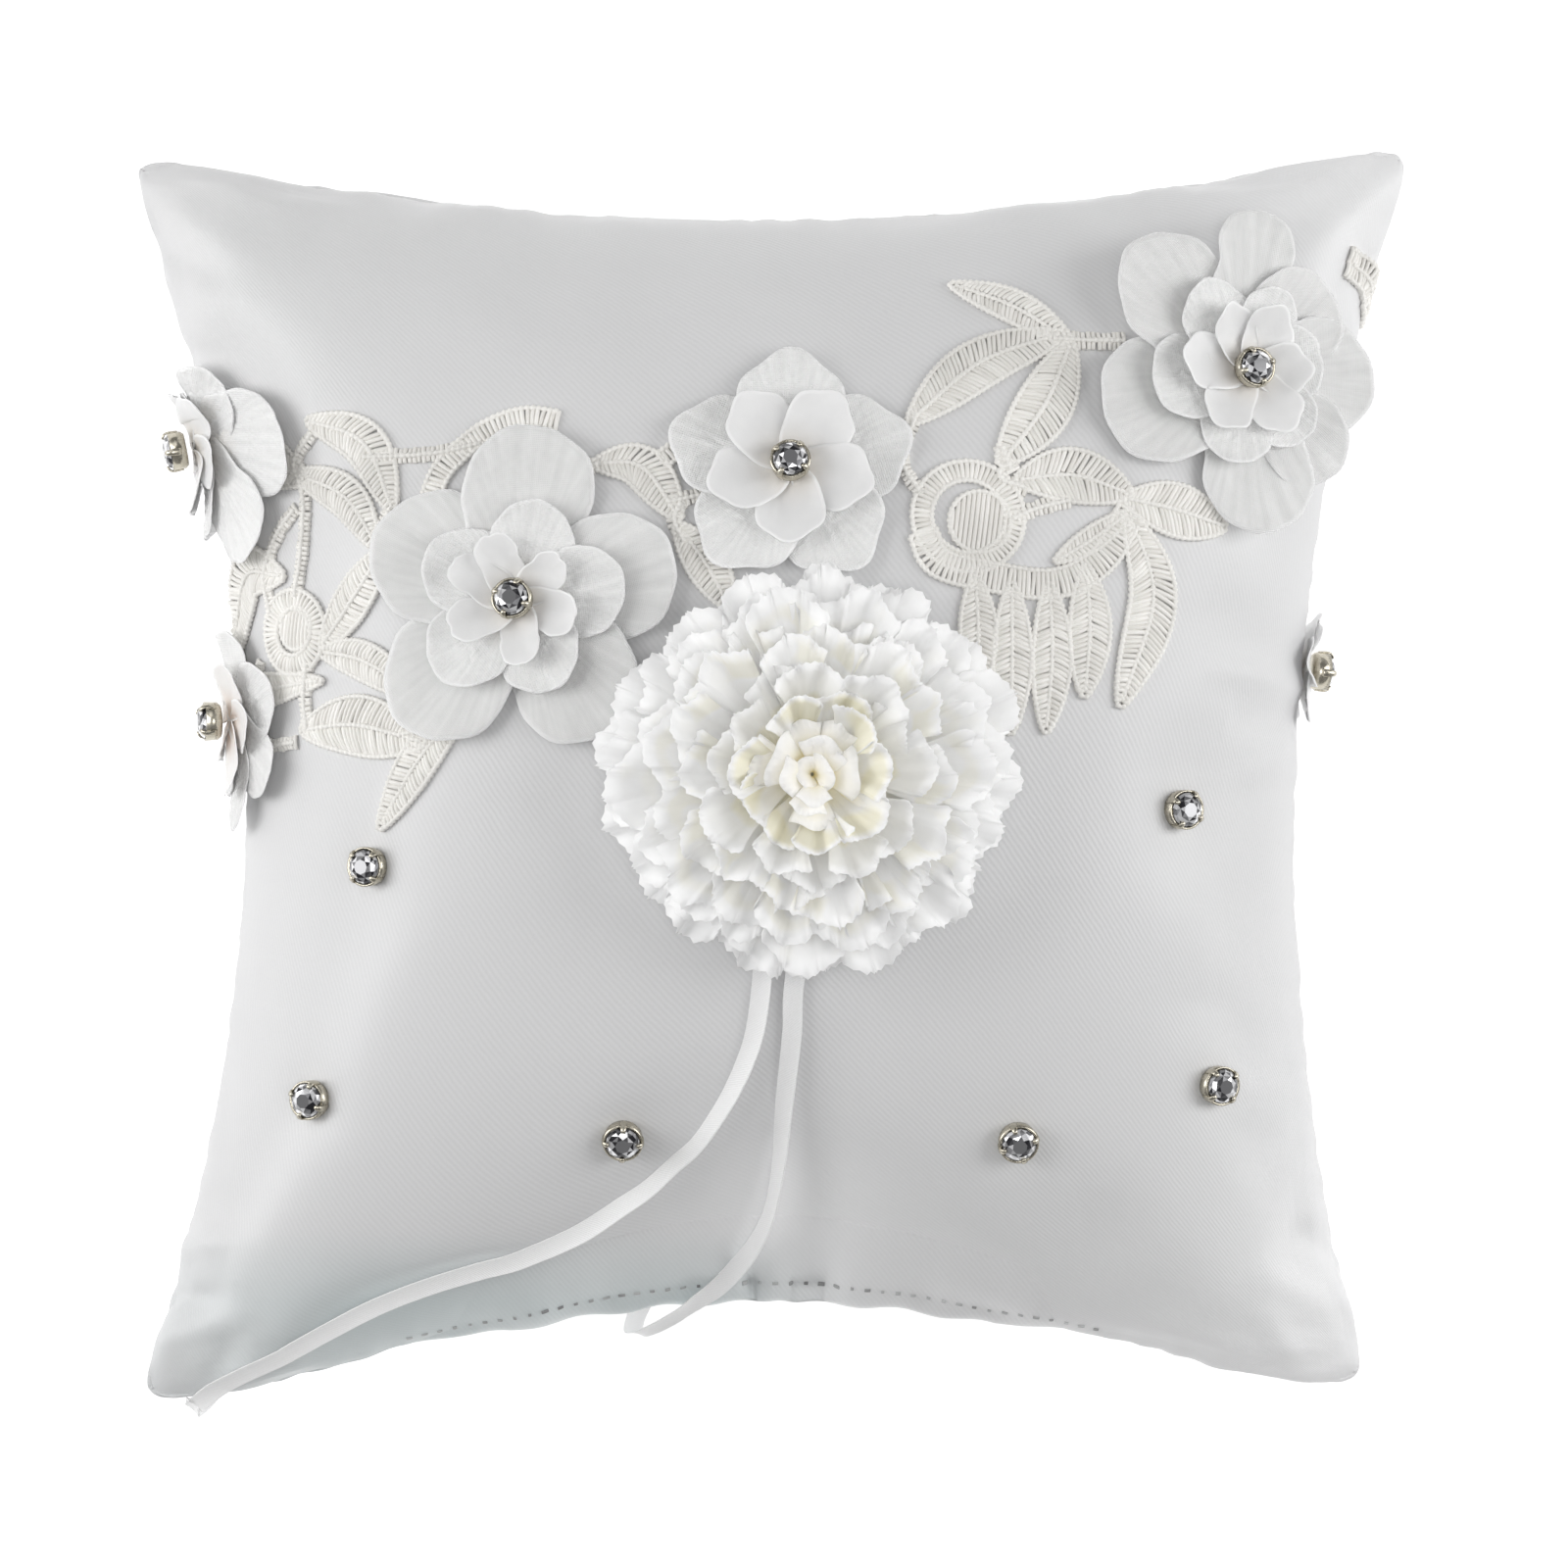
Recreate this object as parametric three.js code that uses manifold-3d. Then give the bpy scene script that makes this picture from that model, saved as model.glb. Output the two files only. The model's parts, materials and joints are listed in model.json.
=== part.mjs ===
// Ring bearer pillow: a plump square satin cushion lying on its back, trimmed with a corded lace
// applique, layered organza flowers held by rhinestones in metal cups, a carnation head stitched to
// the middle, and one narrow satin ribbon folded under the carnation for tying the rings.
// Millimetres. X runs across the face, Y towards the pillow's top edge, Z out of the face.
// The origin is on the table, under the middle of the pillow.

import * as THREE from 'three';
import { mergeVertices } from 'three/addons/utils/BufferGeometryUtils.js';
import Module from 'manifold-3d';

const wasm = await Module();
wasm.setup();

// ---- Driving dimensions: cushion ----
const FACE_WIDTH = 202; // between the square's corners, before the tips are blunted
const FACE_HEIGHT = 197.4;
const SEAM_HEIGHT = 32; // seam plane above the table
const FRONT_CROWN = 38; // the face's middle above the seam plane
const BACK_CROWN = 38; // the back's fullness, pressed flat where it meets the table
const CROWN_POWER = 1.05;
const CORNER_TRIM = {
  topLeft: [0.1, 1.6],
  topRight: [0.2, 0],
  bottomLeft: [1.5, 0.4],
  bottomRight: [7.3, 2.9],
};
const PULL_IN = { left: 17.3, right: 14.5, top: 10.4, bottom: 15.6 }; // each side's hollow at its middle
const PULL_POWER = { side: 1, top: 1.15, bottom: 1.8 };
const TIP_BLUNT = 0.02; // how far a corner's tip is turned back, as a share
const TIP_SHARPNESS = 40;
const CLOTH = 0.8; // panel wall
const GAP = 0.3; // between pieces that touch
const WADDING_SLACK = 1.4; // the filling stays this far inside the panels, past the gap
const WADDING_EDGE = 0.6; // its thickness at the seam
const PANEL_CELLS = 16; // grid cells along each side of a panel
const WADDING_CELLS = 12;

// ---- Driving dimensions: closing hem, the gathered seam the cushion was filled through ----
const HEM_DEPTH = 5;
const HEM_LIP = 1;
const HEM_THICKNESS = 1.4;
const HEM_MIDDLE = 0.03; // middle and half length, as shares of the face's half width
const HEM_REACH = 0.55;
const HEM_CELLS = 6;

// ---- Driving dimensions: trims ----
// Stations and lace are drawn on a face of this size, and they spread with it.
const DRAWN_WIDTH = 202;
const DRAWN_HEIGHT = 197.4;
const SPREAD_X = FACE_WIDTH / DRAWN_WIDTH;
const SPREAD_Y = FACE_HEIGHT / DRAWN_HEIGHT;

// ---- Driving dimensions: lace ----
const LACE_THICKNESS = 0.5;
const LACE_LIFT = 0.6; // above the cloth
const STEM_THICKNESS = 0.8;
const STEM_LIFT = 0.45;
const LEAF_TIP = 0.15; // a leaf's end against its widest place
const LEAF_FULLNESS = 0.8;

// ---- Driving dimensions: flowers and rhinestones ----
const PETAL = 0.5; // petal thickness in this model
const FLOWER_LIFT = 2; // lowest petals above the cloth, clear of the lace
const SIDE_FLOWER_LIFT = 1.6;
const RIGHT_FLOWER_LIFT = 2.6; // higher, because it bends over the cushion's shoulder
const SEAT_ON_CLOTH = 0.45; // a flower's stitched middle above the cloth
const SEAT_ON_LACE = 1.6; // or above the cloth where lace runs under it
const BEND_SLACK = 0.15; // petals follow the cloth's curve less this share
const BIG_FLOWER = { outer: 24, middle: 16.5, inner: 10.5 };
const SMALL_FLOWER = { outer: 17.7, inner: 11.8 };
const SIDE_UPPER_FLOWER = { outer: 15.5, inner: 9 };
const SIDE_LOWER_FLOWER = { outer: 14, inner: 9.5 };
const SIDE_RIGHT_FLOWER = { outer: 8.5 };
const CUP_RADIUS = 3.4;
const CUP_WALL = 0.35;
const CUP_HEIGHT = 2.6;
const CUP_FLOOR = 0.5;
const CUP_CHAMFER = { in: 1, up: 1.1 }; // round its foot
const CUP_POCKET = { radius: 0.7, rise: 1.2 }; // the cone that the stone's back sits in
const STONE_CLEARANCE = 0.27;
const STONE_BACK_CLEARANCE = 0.4; // the stone's point above the cup's floor
const STONE_SUNK = 0.15; // the girdle's lower edge below the cup's rim
const STONE_GIRDLE = 0.1; // the girdle's upper edge above it
const STONE_CROWN = 0.9; // height from girdle to table
const STONE_TABLE = 1.6; // radius of the flat top
const LOOSE_CUP_SEAT = 0.45; // a cup sewn straight to the cloth

// ---- Driving dimensions: carnation ----
const CARNATION_RADIUS = 32.7;
const CARNATION_HEIGHT = 20;
const CARNATION_LAYERS = 7;
const CARNATION_LIFT = 2.2;
const CARNATION_LOBES = 9;
const CARNATION_NARROWING = { share: 0.62, power: 1.9 }; // the top layer's radius against the lowest's
const CARNATION_RISE = { first: 0.2, power: 0.75 }; // the lowest layer's tips against the full height
const CARNATION_TWIST = 0.35; // from each layer to the next
const BACKING_RADIUS = 11;
const BACKING_THICKNESS = 0.65;
const CENTRE_GAP = 0.4;
const CENTRE_PROFILE = [[1.6, 0.5], [4.6, 4.6], [5.4, 8.6]]; // radius, height above the centre's foot
const CENTRE_TOP = { radius: 3.6, shoulder: 1.2, dome: 1.6 }; // heights above the outer petals

// ---- Driving dimensions: ribbon ----
const RIBBON_WIDTH = 3;
const RIBBON_THICKNESS = 0.5;
const RIBBON_LIFT = 0.4;
const FOLD_LENGTH = 9;

const SATIN = { color: 0xe2e2e1, roughness: 0.45, metalness: 0 };
const LACE = { color: 0xe6e5e0, roughness: 0.8, metalness: 0 };
const ORGANZA = { color: 0xeeeeed, roughness: 0.6, metalness: 0 };
const PETAL_SATIN = { color: 0xf1f0ed, roughness: 0.5, metalness: 0 };
const SILK = { color: 0xf2f2ee, roughness: 0.7, metalness: 0 };
const CREAM = { color: 0xece2bc, roughness: 0.7, metalness: 0 };
const WADDING = { color: 0xf4f4f4, roughness: 1, metalness: 0 };
const CUP_METAL = { color: 0xb9b5a8, roughness: 0.25, metalness: 1 };
const CRYSTAL = { color: 0xd6d6d8, roughness: 0.05, metalness: 0.6 };

const pillow = new THREE.Group();

// ---------------------------------------------------------------- mesh helpers

// Shared vertices, no slivers, faces outwards.
function closeBody(geometry) {
  geometry.deleteAttribute('normal');
  geometry.deleteAttribute('uv');
  const merged = mergeVertices(geometry, 1e-4);
  const position = merged.attributes.position;
  const corner = (i) => new THREE.Vector3().fromBufferAttribute(position, i);
  const kept = [];
  let volume = 0;
  for (let i = 0; i < merged.index.count; i += 3) {
    const [a, b, c] = [0, 1, 2].map((k) => merged.index.getX(i + k));
    if (a === b || b === c || a === c) continue;
    kept.push(a, b, c);
    volume += corner(a).dot(corner(b).cross(corner(c)));
  }
  if (volume < 0) kept.reverse();
  merged.setIndex(kept);
  merged.computeVertexNormals();
  return merged;
}

function moveVertices(geometry, place) {
  const position = geometry.attributes.position;
  for (let i = 0; i < position.count; i += 1) {
    const moved = place(position.getX(i), position.getY(i), position.getZ(i));
    position.setXYZ(i, moved.x, moved.y, moved.z);
  }
  return closeBody(geometry);
}

// A plate of cells mapped by place(a, b, side), with a and b from -1 to 1 and side 0 or 1. Both
// sides split their cells along the same diagonal, so a thin warped wall stays clear of itself.
function plate(cellsA, cellsB, place) {
  const points = [];
  for (const side of [0, 1]) {
    for (let j = 0; j <= cellsB; j += 1) {
      for (let i = 0; i <= cellsA; i += 1) {
        points.push(place((2 * i) / cellsA - 1, (2 * j) / cellsB - 1, side));
      }
    }
  }
  const at = (i, j, side) => (side * (cellsB + 1) + j) * (cellsA + 1) + i;
  const index = [];
  const addCell = (a, b, c, d) => index.push(a, b, c, a, c, d);
  for (let i = 0; i < cellsA; i += 1) {
    for (let j = 0; j < cellsB; j += 1) {
      addCell(at(i, j, 1), at(i + 1, j, 1), at(i + 1, j + 1, 1), at(i, j + 1, 1));
      addCell(at(i, j, 0), at(i, j + 1, 0), at(i + 1, j + 1, 0), at(i + 1, j, 0));
    }
    addCell(at(i, 0, 0), at(i + 1, 0, 0), at(i + 1, 0, 1), at(i, 0, 1));
    addCell(at(i, cellsB, 0), at(i, cellsB, 1), at(i + 1, cellsB, 1), at(i + 1, cellsB, 0));
  }
  for (let j = 0; j < cellsB; j += 1) {
    addCell(at(0, j, 0), at(0, j, 1), at(0, j + 1, 1), at(0, j + 1, 0));
    addCell(at(cellsA, j, 0), at(cellsA, j + 1, 0), at(cellsA, j + 1, 1), at(cellsA, j, 1));
  }
  const geometry = new THREE.BufferGeometry().setFromPoints(points);
  geometry.setIndex(index);
  return closeBody(geometry);
}

// A disc of rings mapped by place(angle, share, side), with share from 0 at the middle to 1.
function disc(segments, rings, place) {
  const shares = Array.from({ length: rings + 1 }, (_, i) => i / rings);
  const profile = [
    ...shares.map((share) => new THREE.Vector2(share, 0)),
    ...shares.reverse().map((share) => new THREE.Vector2(share, 1)),
  ];
  const round = new THREE.LatheGeometry(profile, segments);
  return moveVertices(round, (x, y, z) => place(Math.atan2(z, x), Math.hypot(x, z), y));
}

function lathe(points, segments) {
  const profile = points.map(([r, h]) => new THREE.Vector2(r, h));
  return closeBody(new THREE.LatheGeometry(profile, segments).rotateX(Math.PI / 2));
}

function unite(geometries) {
  const solids = geometries.map((geometry) => {
    const vertProperties = Float32Array.from(geometry.attributes.position.array);
    const triVerts = Uint32Array.from(geometry.index.array);
    return new wasm.Manifold(new wasm.Mesh({ numProp: 3, vertProperties, triVerts }));
  });
  const joined = solids.reduce((sum, solid) => sum.add(solid)).getMesh();
  const geometry = new THREE.BufferGeometry();
  geometry.setAttribute('position', new THREE.BufferAttribute(joined.vertProperties, 3));
  geometry.setIndex(new THREE.BufferAttribute(joined.triVerts, 1));
  geometry.computeVertexNormals();
  return geometry;
}

function addPiece(parent, name, geometry, finish) {
  const mesh = new THREE.Mesh(geometry, new THREE.MeshStandardMaterial(finish));
  mesh.name = name;
  parent.add(mesh);
}

// ---------------------------------------------------------------- the cushion's surface

function hemBump(u) {
  const share = (u - HEM_MIDDLE) / HEM_REACH;
  return Math.abs(share) < 1 ? (1 - share * share) ** 2 : 0;
}

function cornerPoint(side, level, [trimX, trimY]) {
  return [side * (FACE_WIDTH / 2 - trimX), level * (FACE_HEIGHT / 2 - trimY)];
}

// Where the seam-plane square's point (u, v), each from -1 to 1, lies once its sides pull in.
function facePoint(u, v) {
  const { lerp } = THREE.MathUtils;
  const across = (u + 1) / 2;
  const up = (v + 1) / 2;
  const topLeft = cornerPoint(-1, 1, CORNER_TRIM.topLeft);
  const topRight = cornerPoint(1, 1, CORNER_TRIM.topRight);
  const bottomLeft = cornerPoint(-1, -1, CORNER_TRIM.bottomLeft);
  const bottomRight = cornerPoint(1, -1, CORNER_TRIM.bottomRight);
  const [squareX, squareY] = [0, 1].map((axis) => lerp(
    lerp(bottomLeft[axis], bottomRight[axis], across),
    lerp(topLeft[axis], topRight[axis], across),
    up,
  ));
  const clearOfEdge = (share) => Math.max(0, 1 - share * share);
  const sidePull = u * lerp(PULL_IN.left, PULL_IN.right, across) * clearOfEdge(v) ** PULL_POWER.side;
  const endPower = lerp(PULL_POWER.bottom, PULL_POWER.top, up);
  const endPull = v * lerp(PULL_IN.bottom, PULL_IN.top, up) * clearOfEdge(u) ** endPower;
  const hemPull = HEM_DEPTH * hemBump(u) * (1 - up) ** 4;
  const blunt = 1 - TIP_BLUNT * (Math.abs(u) * Math.abs(v)) ** TIP_SHARPNESS;
  return [(squareX - sidePull) * blunt, (squareY - endPull + hemPull) * blunt];
}

// The cushion's surface: s and t run from -1 to 1 over the face and past 1 round onto the back.
function surfacePoint(s, t, inset = 0) {
  const [x, y] = facePoint(Math.sin((Math.PI * s) / 2), Math.sin((Math.PI * t) / 2));
  const round = Math.cos((Math.PI * s) / 2) * Math.cos((Math.PI * t) / 2);
  const crown = Math.abs(round) ** CROWN_POWER;
  const z = round >= 0
    ? SEAM_HEIGHT + (FRONT_CROWN - inset) * crown
    : Math.max(inset, SEAM_HEIGHT - (BACK_CROWN - inset) * crown);
  const shrink = 1 - (2 * inset) / FACE_WIDTH;
  return new THREE.Vector3(x * shrink, y * shrink, z);
}

function surfaceNormal(s, t) {
  const step = 1e-3;
  const alongS = surfacePoint(s + step, t).sub(surfacePoint(s - step, t));
  const alongT = surfacePoint(s, t + step).sub(surfacePoint(s, t - step));
  return alongS.cross(alongT).normalize();
}

// The surface parameters under a drawn face station, by Newton's method.
function faceParameters(drawnX, drawnY) {
  const goal = new THREE.Vector2(drawnX * SPREAD_X, drawnY * SPREAD_Y);
  const miss = (s, t) => {
    const point = surfacePoint(s, t);
    return new THREE.Vector2(point.x, point.y).sub(goal);
  };
  const step = 1e-4;
  let [s, t] = [goal.x / FACE_WIDTH, goal.y / FACE_HEIGHT];
  for (let round = 0; round < 30; round += 1) {
    const error = miss(s, t);
    const ds = miss(s + step, t).sub(error).divideScalar(step);
    const dt = miss(s, t + step).sub(error).divideScalar(step);
    const determinant = ds.x * dt.y - ds.y * dt.x;
    s -= THREE.MathUtils.clamp((error.x * dt.y - error.y * dt.x) / determinant, -0.1, 0.1);
    t -= THREE.MathUtils.clamp((error.y * ds.x - error.x * ds.y) / determinant, -0.1, 0.1);
    [s, t] = [s, t].map((value) => THREE.MathUtils.clamp(value, -0.99, 0.99));
  }
  return [s, t];
}

// A group that stands on the surface at (s, t): its Z leaves the cloth, its Y leans up the face.
function standOn([s, t]) {
  const group = new THREE.Group();
  const normal = surfaceNormal(s, t);
  const up = new THREE.Vector3(0, 1, 0).addScaledVector(normal, -normal.y).normalize();
  const across = up.clone().cross(normal);
  group.position.copy(surfacePoint(s, t));
  group.quaternion.setFromRotationMatrix(new THREE.Matrix4().makeBasis(across, up, normal));
  pillow.add(group);
  return group;
}

// How fast the cloth falls away from that group's XY plane at the given reach, along its X and Y.
function fallAt([s, t], reach) {
  const origin = surfacePoint(s, t);
  const normal = surfaceNormal(s, t);
  const fallAlong = (ds, dt) => {
    const falls = [1, -1].map((way) => {
      let share = 0.002;
      let leg = new THREE.Vector3();
      while (leg.length() < reach && share < 0.5) {
        leg = surfacePoint(s + way * ds * share, t + way * dt * share).sub(origin);
        share += 0.002;
      }
      const drop = -leg.dot(normal);
      return (2 * drop) / (leg.lengthSq() - drop * drop);
    });
    const mean = Math.min(...falls);
    return mean - BEND_SLACK * Math.abs(mean);
  };
  return [fallAlong(1, 0), fallAlong(0, 1)];
}

// ---------------------------------------------------------------- cushion

function buildCushion() {
  const front = plate(PANEL_CELLS, PANEL_CELLS, (a, b, side) => {
    const point = surfacePoint(a, b, side ? 0 : CLOTH);
    point.z += GAP / 2;
    return point;
  });
  const behind = (a) => (a >= 0 ? 2 - a : -2 - a);
  const back = plate(PANEL_CELLS, PANEL_CELLS, (a, b, side) => {
    const inset = side ? CLOTH : 0;
    const point = surfacePoint(behind(a), b, inset);
    point.z = Math.max(inset, point.z - GAP / 2);
    return point;
  });
  const wadding = CLOTH + GAP + WADDING_SLACK;
  const filling = plate(WADDING_CELLS, WADDING_CELLS, (a, b, side) => {
    const point = surfacePoint(side ? a : behind(a), b, wadding);
    const fullness = Math.abs(point.z - SEAM_HEIGHT) / FRONT_CROWN;
    point.z += ((side ? 1 : -1) * WADDING_EDGE * Math.max(0, 1 - 2 * fullness)) / 2;
    return point;
  });
  addPiece(pillow, 'front_panel', front, SATIN);
  addPiece(pillow, 'back_panel', back, SATIN);
  addPiece(pillow, 'filling', filling, WADDING);
}

// The closing hem stands out of the bottom seam, on the panels' own grid lines.
function buildHem() {
  const reach = HEM_CELLS / PANEL_CELLS;
  const hem = plate(HEM_CELLS, 2, (a, b, side) => {
    const s = a * reach;
    const edge = surfacePoint(s, -1);
    const depth = GAP + ((HEM_LIP + HEM_DEPTH * hemBump(Math.sin((Math.PI * s) / 2))) * (1 - b)) / 2;
    return new THREE.Vector3(edge.x, edge.y - depth, SEAM_HEIGHT + (side - 0.5) * HEM_THICKNESS);
  });
  addPiece(pillow, 'closing_hem', hem, SATIN);
}

// ---------------------------------------------------------------- lace

// A strip lying on the cloth along face stations, tapered to both ends for a leaf.
function laceStrip(stations, drawnWidth, options = {}) {
  const { tapered = false, lift = LACE_LIFT, thick = LACE_THICKNESS, cells = 5 } = options;
  const route = new THREE.CatmullRomCurve3(stations.map(([s, t]) => new THREE.Vector3(s, t, 0)));
  const width = drawnWidth * Math.max(SPREAD_X, SPREAD_Y);
  return plate(cells, 1, (a, b, side) => {
    const share = (a + 1) / 2;
    const here = route.getPoint(share);
    const ahead = route.getPoint(Math.min(1, share + 0.01));
    const before = route.getPoint(Math.max(0, share - 0.01));
    const normal = surfaceNormal(here.x, here.y);
    const along = surfacePoint(ahead.x, ahead.y).sub(surfacePoint(before.x, before.y)).normalize();
    const sideways = normal.clone().cross(along);
    const fullness = LEAF_TIP + (1 - LEAF_TIP) * Math.sin(Math.PI * share) ** LEAF_FULLNESS;
    const taper = tapered ? fullness : 1;
    return surfacePoint(here.x, here.y)
      .addScaledVector(sideways, (b * width * taper) / 2)
      .addScaledVector(normal, lift + side * thick);
  });
}

const onFace = (stations) => stations.map(([x, y]) => faceParameters(x, y));
const leaf = (width, ...stations) => laceStrip(onFace(stations), width, { tapered: true });
const stem = (width, ...stations) => laceStrip(
  onFace(stations),
  width,
  { lift: STEM_LIFT, thick: STEM_THICKNESS, cells: 3 },
);

// A flat ring of lace round a face station, or a full disc where the inner radius is 0.
function laceRing([x, y], inner, outer) {
  const [s, t] = faceParameters(x, y);
  const origin = surfacePoint(s, t);
  const normal = surfaceNormal(s, t);
  const up = new THREE.Vector3(0, 1, 0).addScaledVector(normal, -normal.y).normalize();
  const across = up.clone().cross(normal);
  const [bendX, bendY] = fallAt([s, t], outer);
  const profile = [[inner, 0], [outer, 0], [outer, 1], [inner, 1], [inner, 0]];
  const points = profile.map(([r, h]) => new THREE.Vector2(r, h));
  const band = new THREE.LatheGeometry(inner ? points : points.slice(0, 4), 16);
  return moveVertices(band, (drawnAcross, side, drawnUp) => {
    const [x0, y0] = [drawnAcross * SPREAD_X, drawnUp * SPREAD_Y];
    const drop = (bendX * x0 * x0 + bendY * y0 * y0) / 2;
    return origin.clone()
      .addScaledVector(across, x0)
      .addScaledVector(up, y0)
      .addScaledVector(normal, LACE_LIFT - drop + side * LACE_THICKNESS);
  });
}

function buildLace() {
  const left = [
    leaf(6, [-70, 53], [-61.7, 48.1], [-57.8, 39]),
    leaf(6, [-72, 43.8], [-64.8, 41.4], [-60.1, 34.5]),
    stem(2, [-57.9, 40], [-60, 35.5], [-58.5, 32]),
    stem(2, [-70, 52.6], [-73, 48], [-71.5, 43], [-72, 34], [-73, 27.5]),
    laceRing([-73.4, 22], 3.6, 6.6),
    stem(2, [-77, 18.5], [-73.4, 22], [-70, 25.5]),
    leaf(6.5, [-68.8, 19.6], [-63.9, 26.3], [-58.4, 33]),
    leaf(6, [-69, 19], [-61.6, 17.3], [-55.5, 13.2]),
    leaf(9, [-72, 6.9], [-63.1, 7.6], [-54, 6]),
    leaf(6, [-47.8, 8.4], [-53.1, 3.1], [-58.5, -5.9]),
    stem(2, [-71, 17], [-71.5, 12], [-71, 7]),
    stem(2, [-56, 6.2], [-52, 6.8], [-49, 7.6]),
    stem(2, [-62, 48.4], [-51.8, 48.7], [-40, 51]),
    laceStrip([[-0.72, 0.2], [-0.86, 0.2], [-0.96, 0.14], [-1.06, 0.12]], 7),
    laceStrip([[-0.62, 0.1], [-0.8, 0.09], [-0.93, 0.1], [-0.97, 0.17]], 4),
    laceStrip([[-0.6, 0.32], [-0.8, 0.36], [-0.95, 0.38], [-1.06, 0.4]], 6),
    stem(2, [-77, 25], [-78, 31], [-76, 37], [-73, 41]),
  ];
  const middle = [
    leaf(6, [-27, 47], [-19.5, 45.4], [-14.3, 38.4]),
    leaf(6, [-14.3, 37.8], [-9.8, 31.9], [-6.1, 25]),
    stem(2, [-13.5, 41], [-14.5, 38.2], [-13, 35]),
    stem(2, [-36, 44], [-31, 46], [-25.5, 46.9]),
    stem(2, [-15.5, 41], [-6, 43], [4, 44], [15, 44]),
  ];
  const right = [
    leaf(5, [28.7, 75.2], [37.3, 71.5], [45.8, 65.6]),
    leaf(7.5, [21.5, 53.7], [31.9, 62.2], [44, 66.9]),
    leaf(7.5, [45.5, 65.2], [41.6, 56.1], [34.8, 47.7]),
    stem(2.5, [43, 66.4], [47.8, 66.2], [54, 66.2]),
    stem(2, [22.5, 54.5], [19.8, 47.6], [22.5, 42.5]),
    laceRing([29.8, 39], 5.2, 8.2),
    laceRing([32.4, 37.8], 0, 4.8),
    stem(2, [36.5, 46], [35.5, 48], [35, 49.5]),
    stem(2.4, [31, 37], [38.5, 40.2], [45, 41.5]),
    leaf(8.5, [37.5, 43.2], [46, 44.8], [54.4, 43]),
    leaf(3.5, [42.9, 32.2], [48.9, 35.9], [54.4, 40]),
    leaf(8, [54, 42], [61.2, 40.5], [68.1, 38.4]),
    stem(2, [34.5, 46], [35, 44.5], [38.5, 43.4]),
    laceStrip(onFace([[25.3, 32.7], [33.9, 29.7], [43, 28.7], [50, 32.5], [54.6, 40]]), 3.4, { cells: 10 }),
    leaf(5.5, [34.6, 29.4], [32.4, 20.8], [31.6, 13.4]),
    leaf(6, [39.3, 29], [38.3, 17.9], [37.6, 7.5]),
    leaf(6, [43.6, 29], [44.3, 17.9], [42.8, 7.2]),
    leaf(6.5, [47.6, 31.8], [49.2, 22.4], [48.3, 13.5]),
    leaf(8, [53.6, 38.6], [58.8, 27], [52.6, 11.9]),
  ];
  addPiece(pillow, 'lace_left', unite(left), LACE);
  addPiece(pillow, 'lace_middle', unite(middle), LACE);
  addPiece(pillow, 'lace_right', unite(right), LACE);
  const wrap = laceStrip([[0.82, 0.6], [0.92, 0.57], [1, 0.54], [1.06, 0.52]], 5, { cells: 10 });
  addPiece(pillow, 'lace_wrap_right', wrap, LACE);
}

// ---------------------------------------------------------------- flowers

// One die-cut layer of petals: lobed outline, middle at height lift, tips raised by cup. A lowest
// layer's underside is drawn down by root at its middle, where the stitch pulls it to the cloth.
function petalLayer({ petals, radius, waist, lift, cup, cupPower = 2, bend = [0, 0], turn = 0, root = 0 }) {
  const perPetal = petals > 5 ? 4 : 6;
  return disc(petals * perPetal, 2, (angle, share, side) => {
    const lobe = Math.abs(Math.cos((petals * (angle - turn)) / 2)) ** 0.6;
    const r = share * radius * (waist + (1 - waist) * lobe);
    const [x, y] = [r * Math.cos(angle), r * Math.sin(angle)];
    const fall = (bend[0] * x * x + bend[1] * y * y) / 2;
    const floor = side || share ? side * PETAL : -root;
    return new THREE.Vector3(x, y, lift + cup * (r / radius) ** cupPower - fall + floor);
  });
}

function addRhinestone(parent, name, seat) {
  const bore = CUP_RADIUS - CUP_WALL;
  const rim = seat + CUP_HEIGHT;
  const floor = seat + CUP_FLOOR;
  const cup = lathe([
    [0, seat],
    [CUP_RADIUS - CUP_CHAMFER.in, seat],
    [CUP_RADIUS, seat + CUP_CHAMFER.up],
    [CUP_RADIUS, rim],
    [bore, rim],
    [bore, floor + CUP_POCKET.rise],
    [CUP_POCKET.radius, floor],
    [0, floor],
  ], 10);
  const girdle = bore - STONE_CLEARANCE;
  const table = rim + STONE_GIRDLE + STONE_CROWN;
  const stone = lathe([
    [0, floor + STONE_BACK_CLEARANCE],
    [girdle, rim - STONE_SUNK],
    [girdle, rim + STONE_GIRDLE],
    [STONE_TABLE, table],
    [0, table],
  ], 8);
  addPiece(parent, `${name}_cup`, cup, CUP_METAL);
  addPiece(parent, `${name}_stone`, stone, CRYSTAL);
}

// A layered flower: each layer lies a gap above the one below, and a rhinestone cup pins them.
function addFlower(name, parameters, layers, lift, seat) {
  const stand = standOn(parameters);
  const bend = fallAt(parameters, layers[0].radius);
  let height = lift;
  layers.forEach((layer, index) => {
    const root = index ? 0 : lift - seat;
    const petals = petalLayer({ petals: 5, ...layer, lift: height, bend, root });
    addPiece(stand, `${name}_${layer.name}`, petals, layer.finish);
    height += PETAL + GAP;
  });
  const top = layers[layers.length - 1];
  addRhinestone(stand, name, height + top.cup * (CUP_RADIUS / top.radius) ** 2);
}

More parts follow.
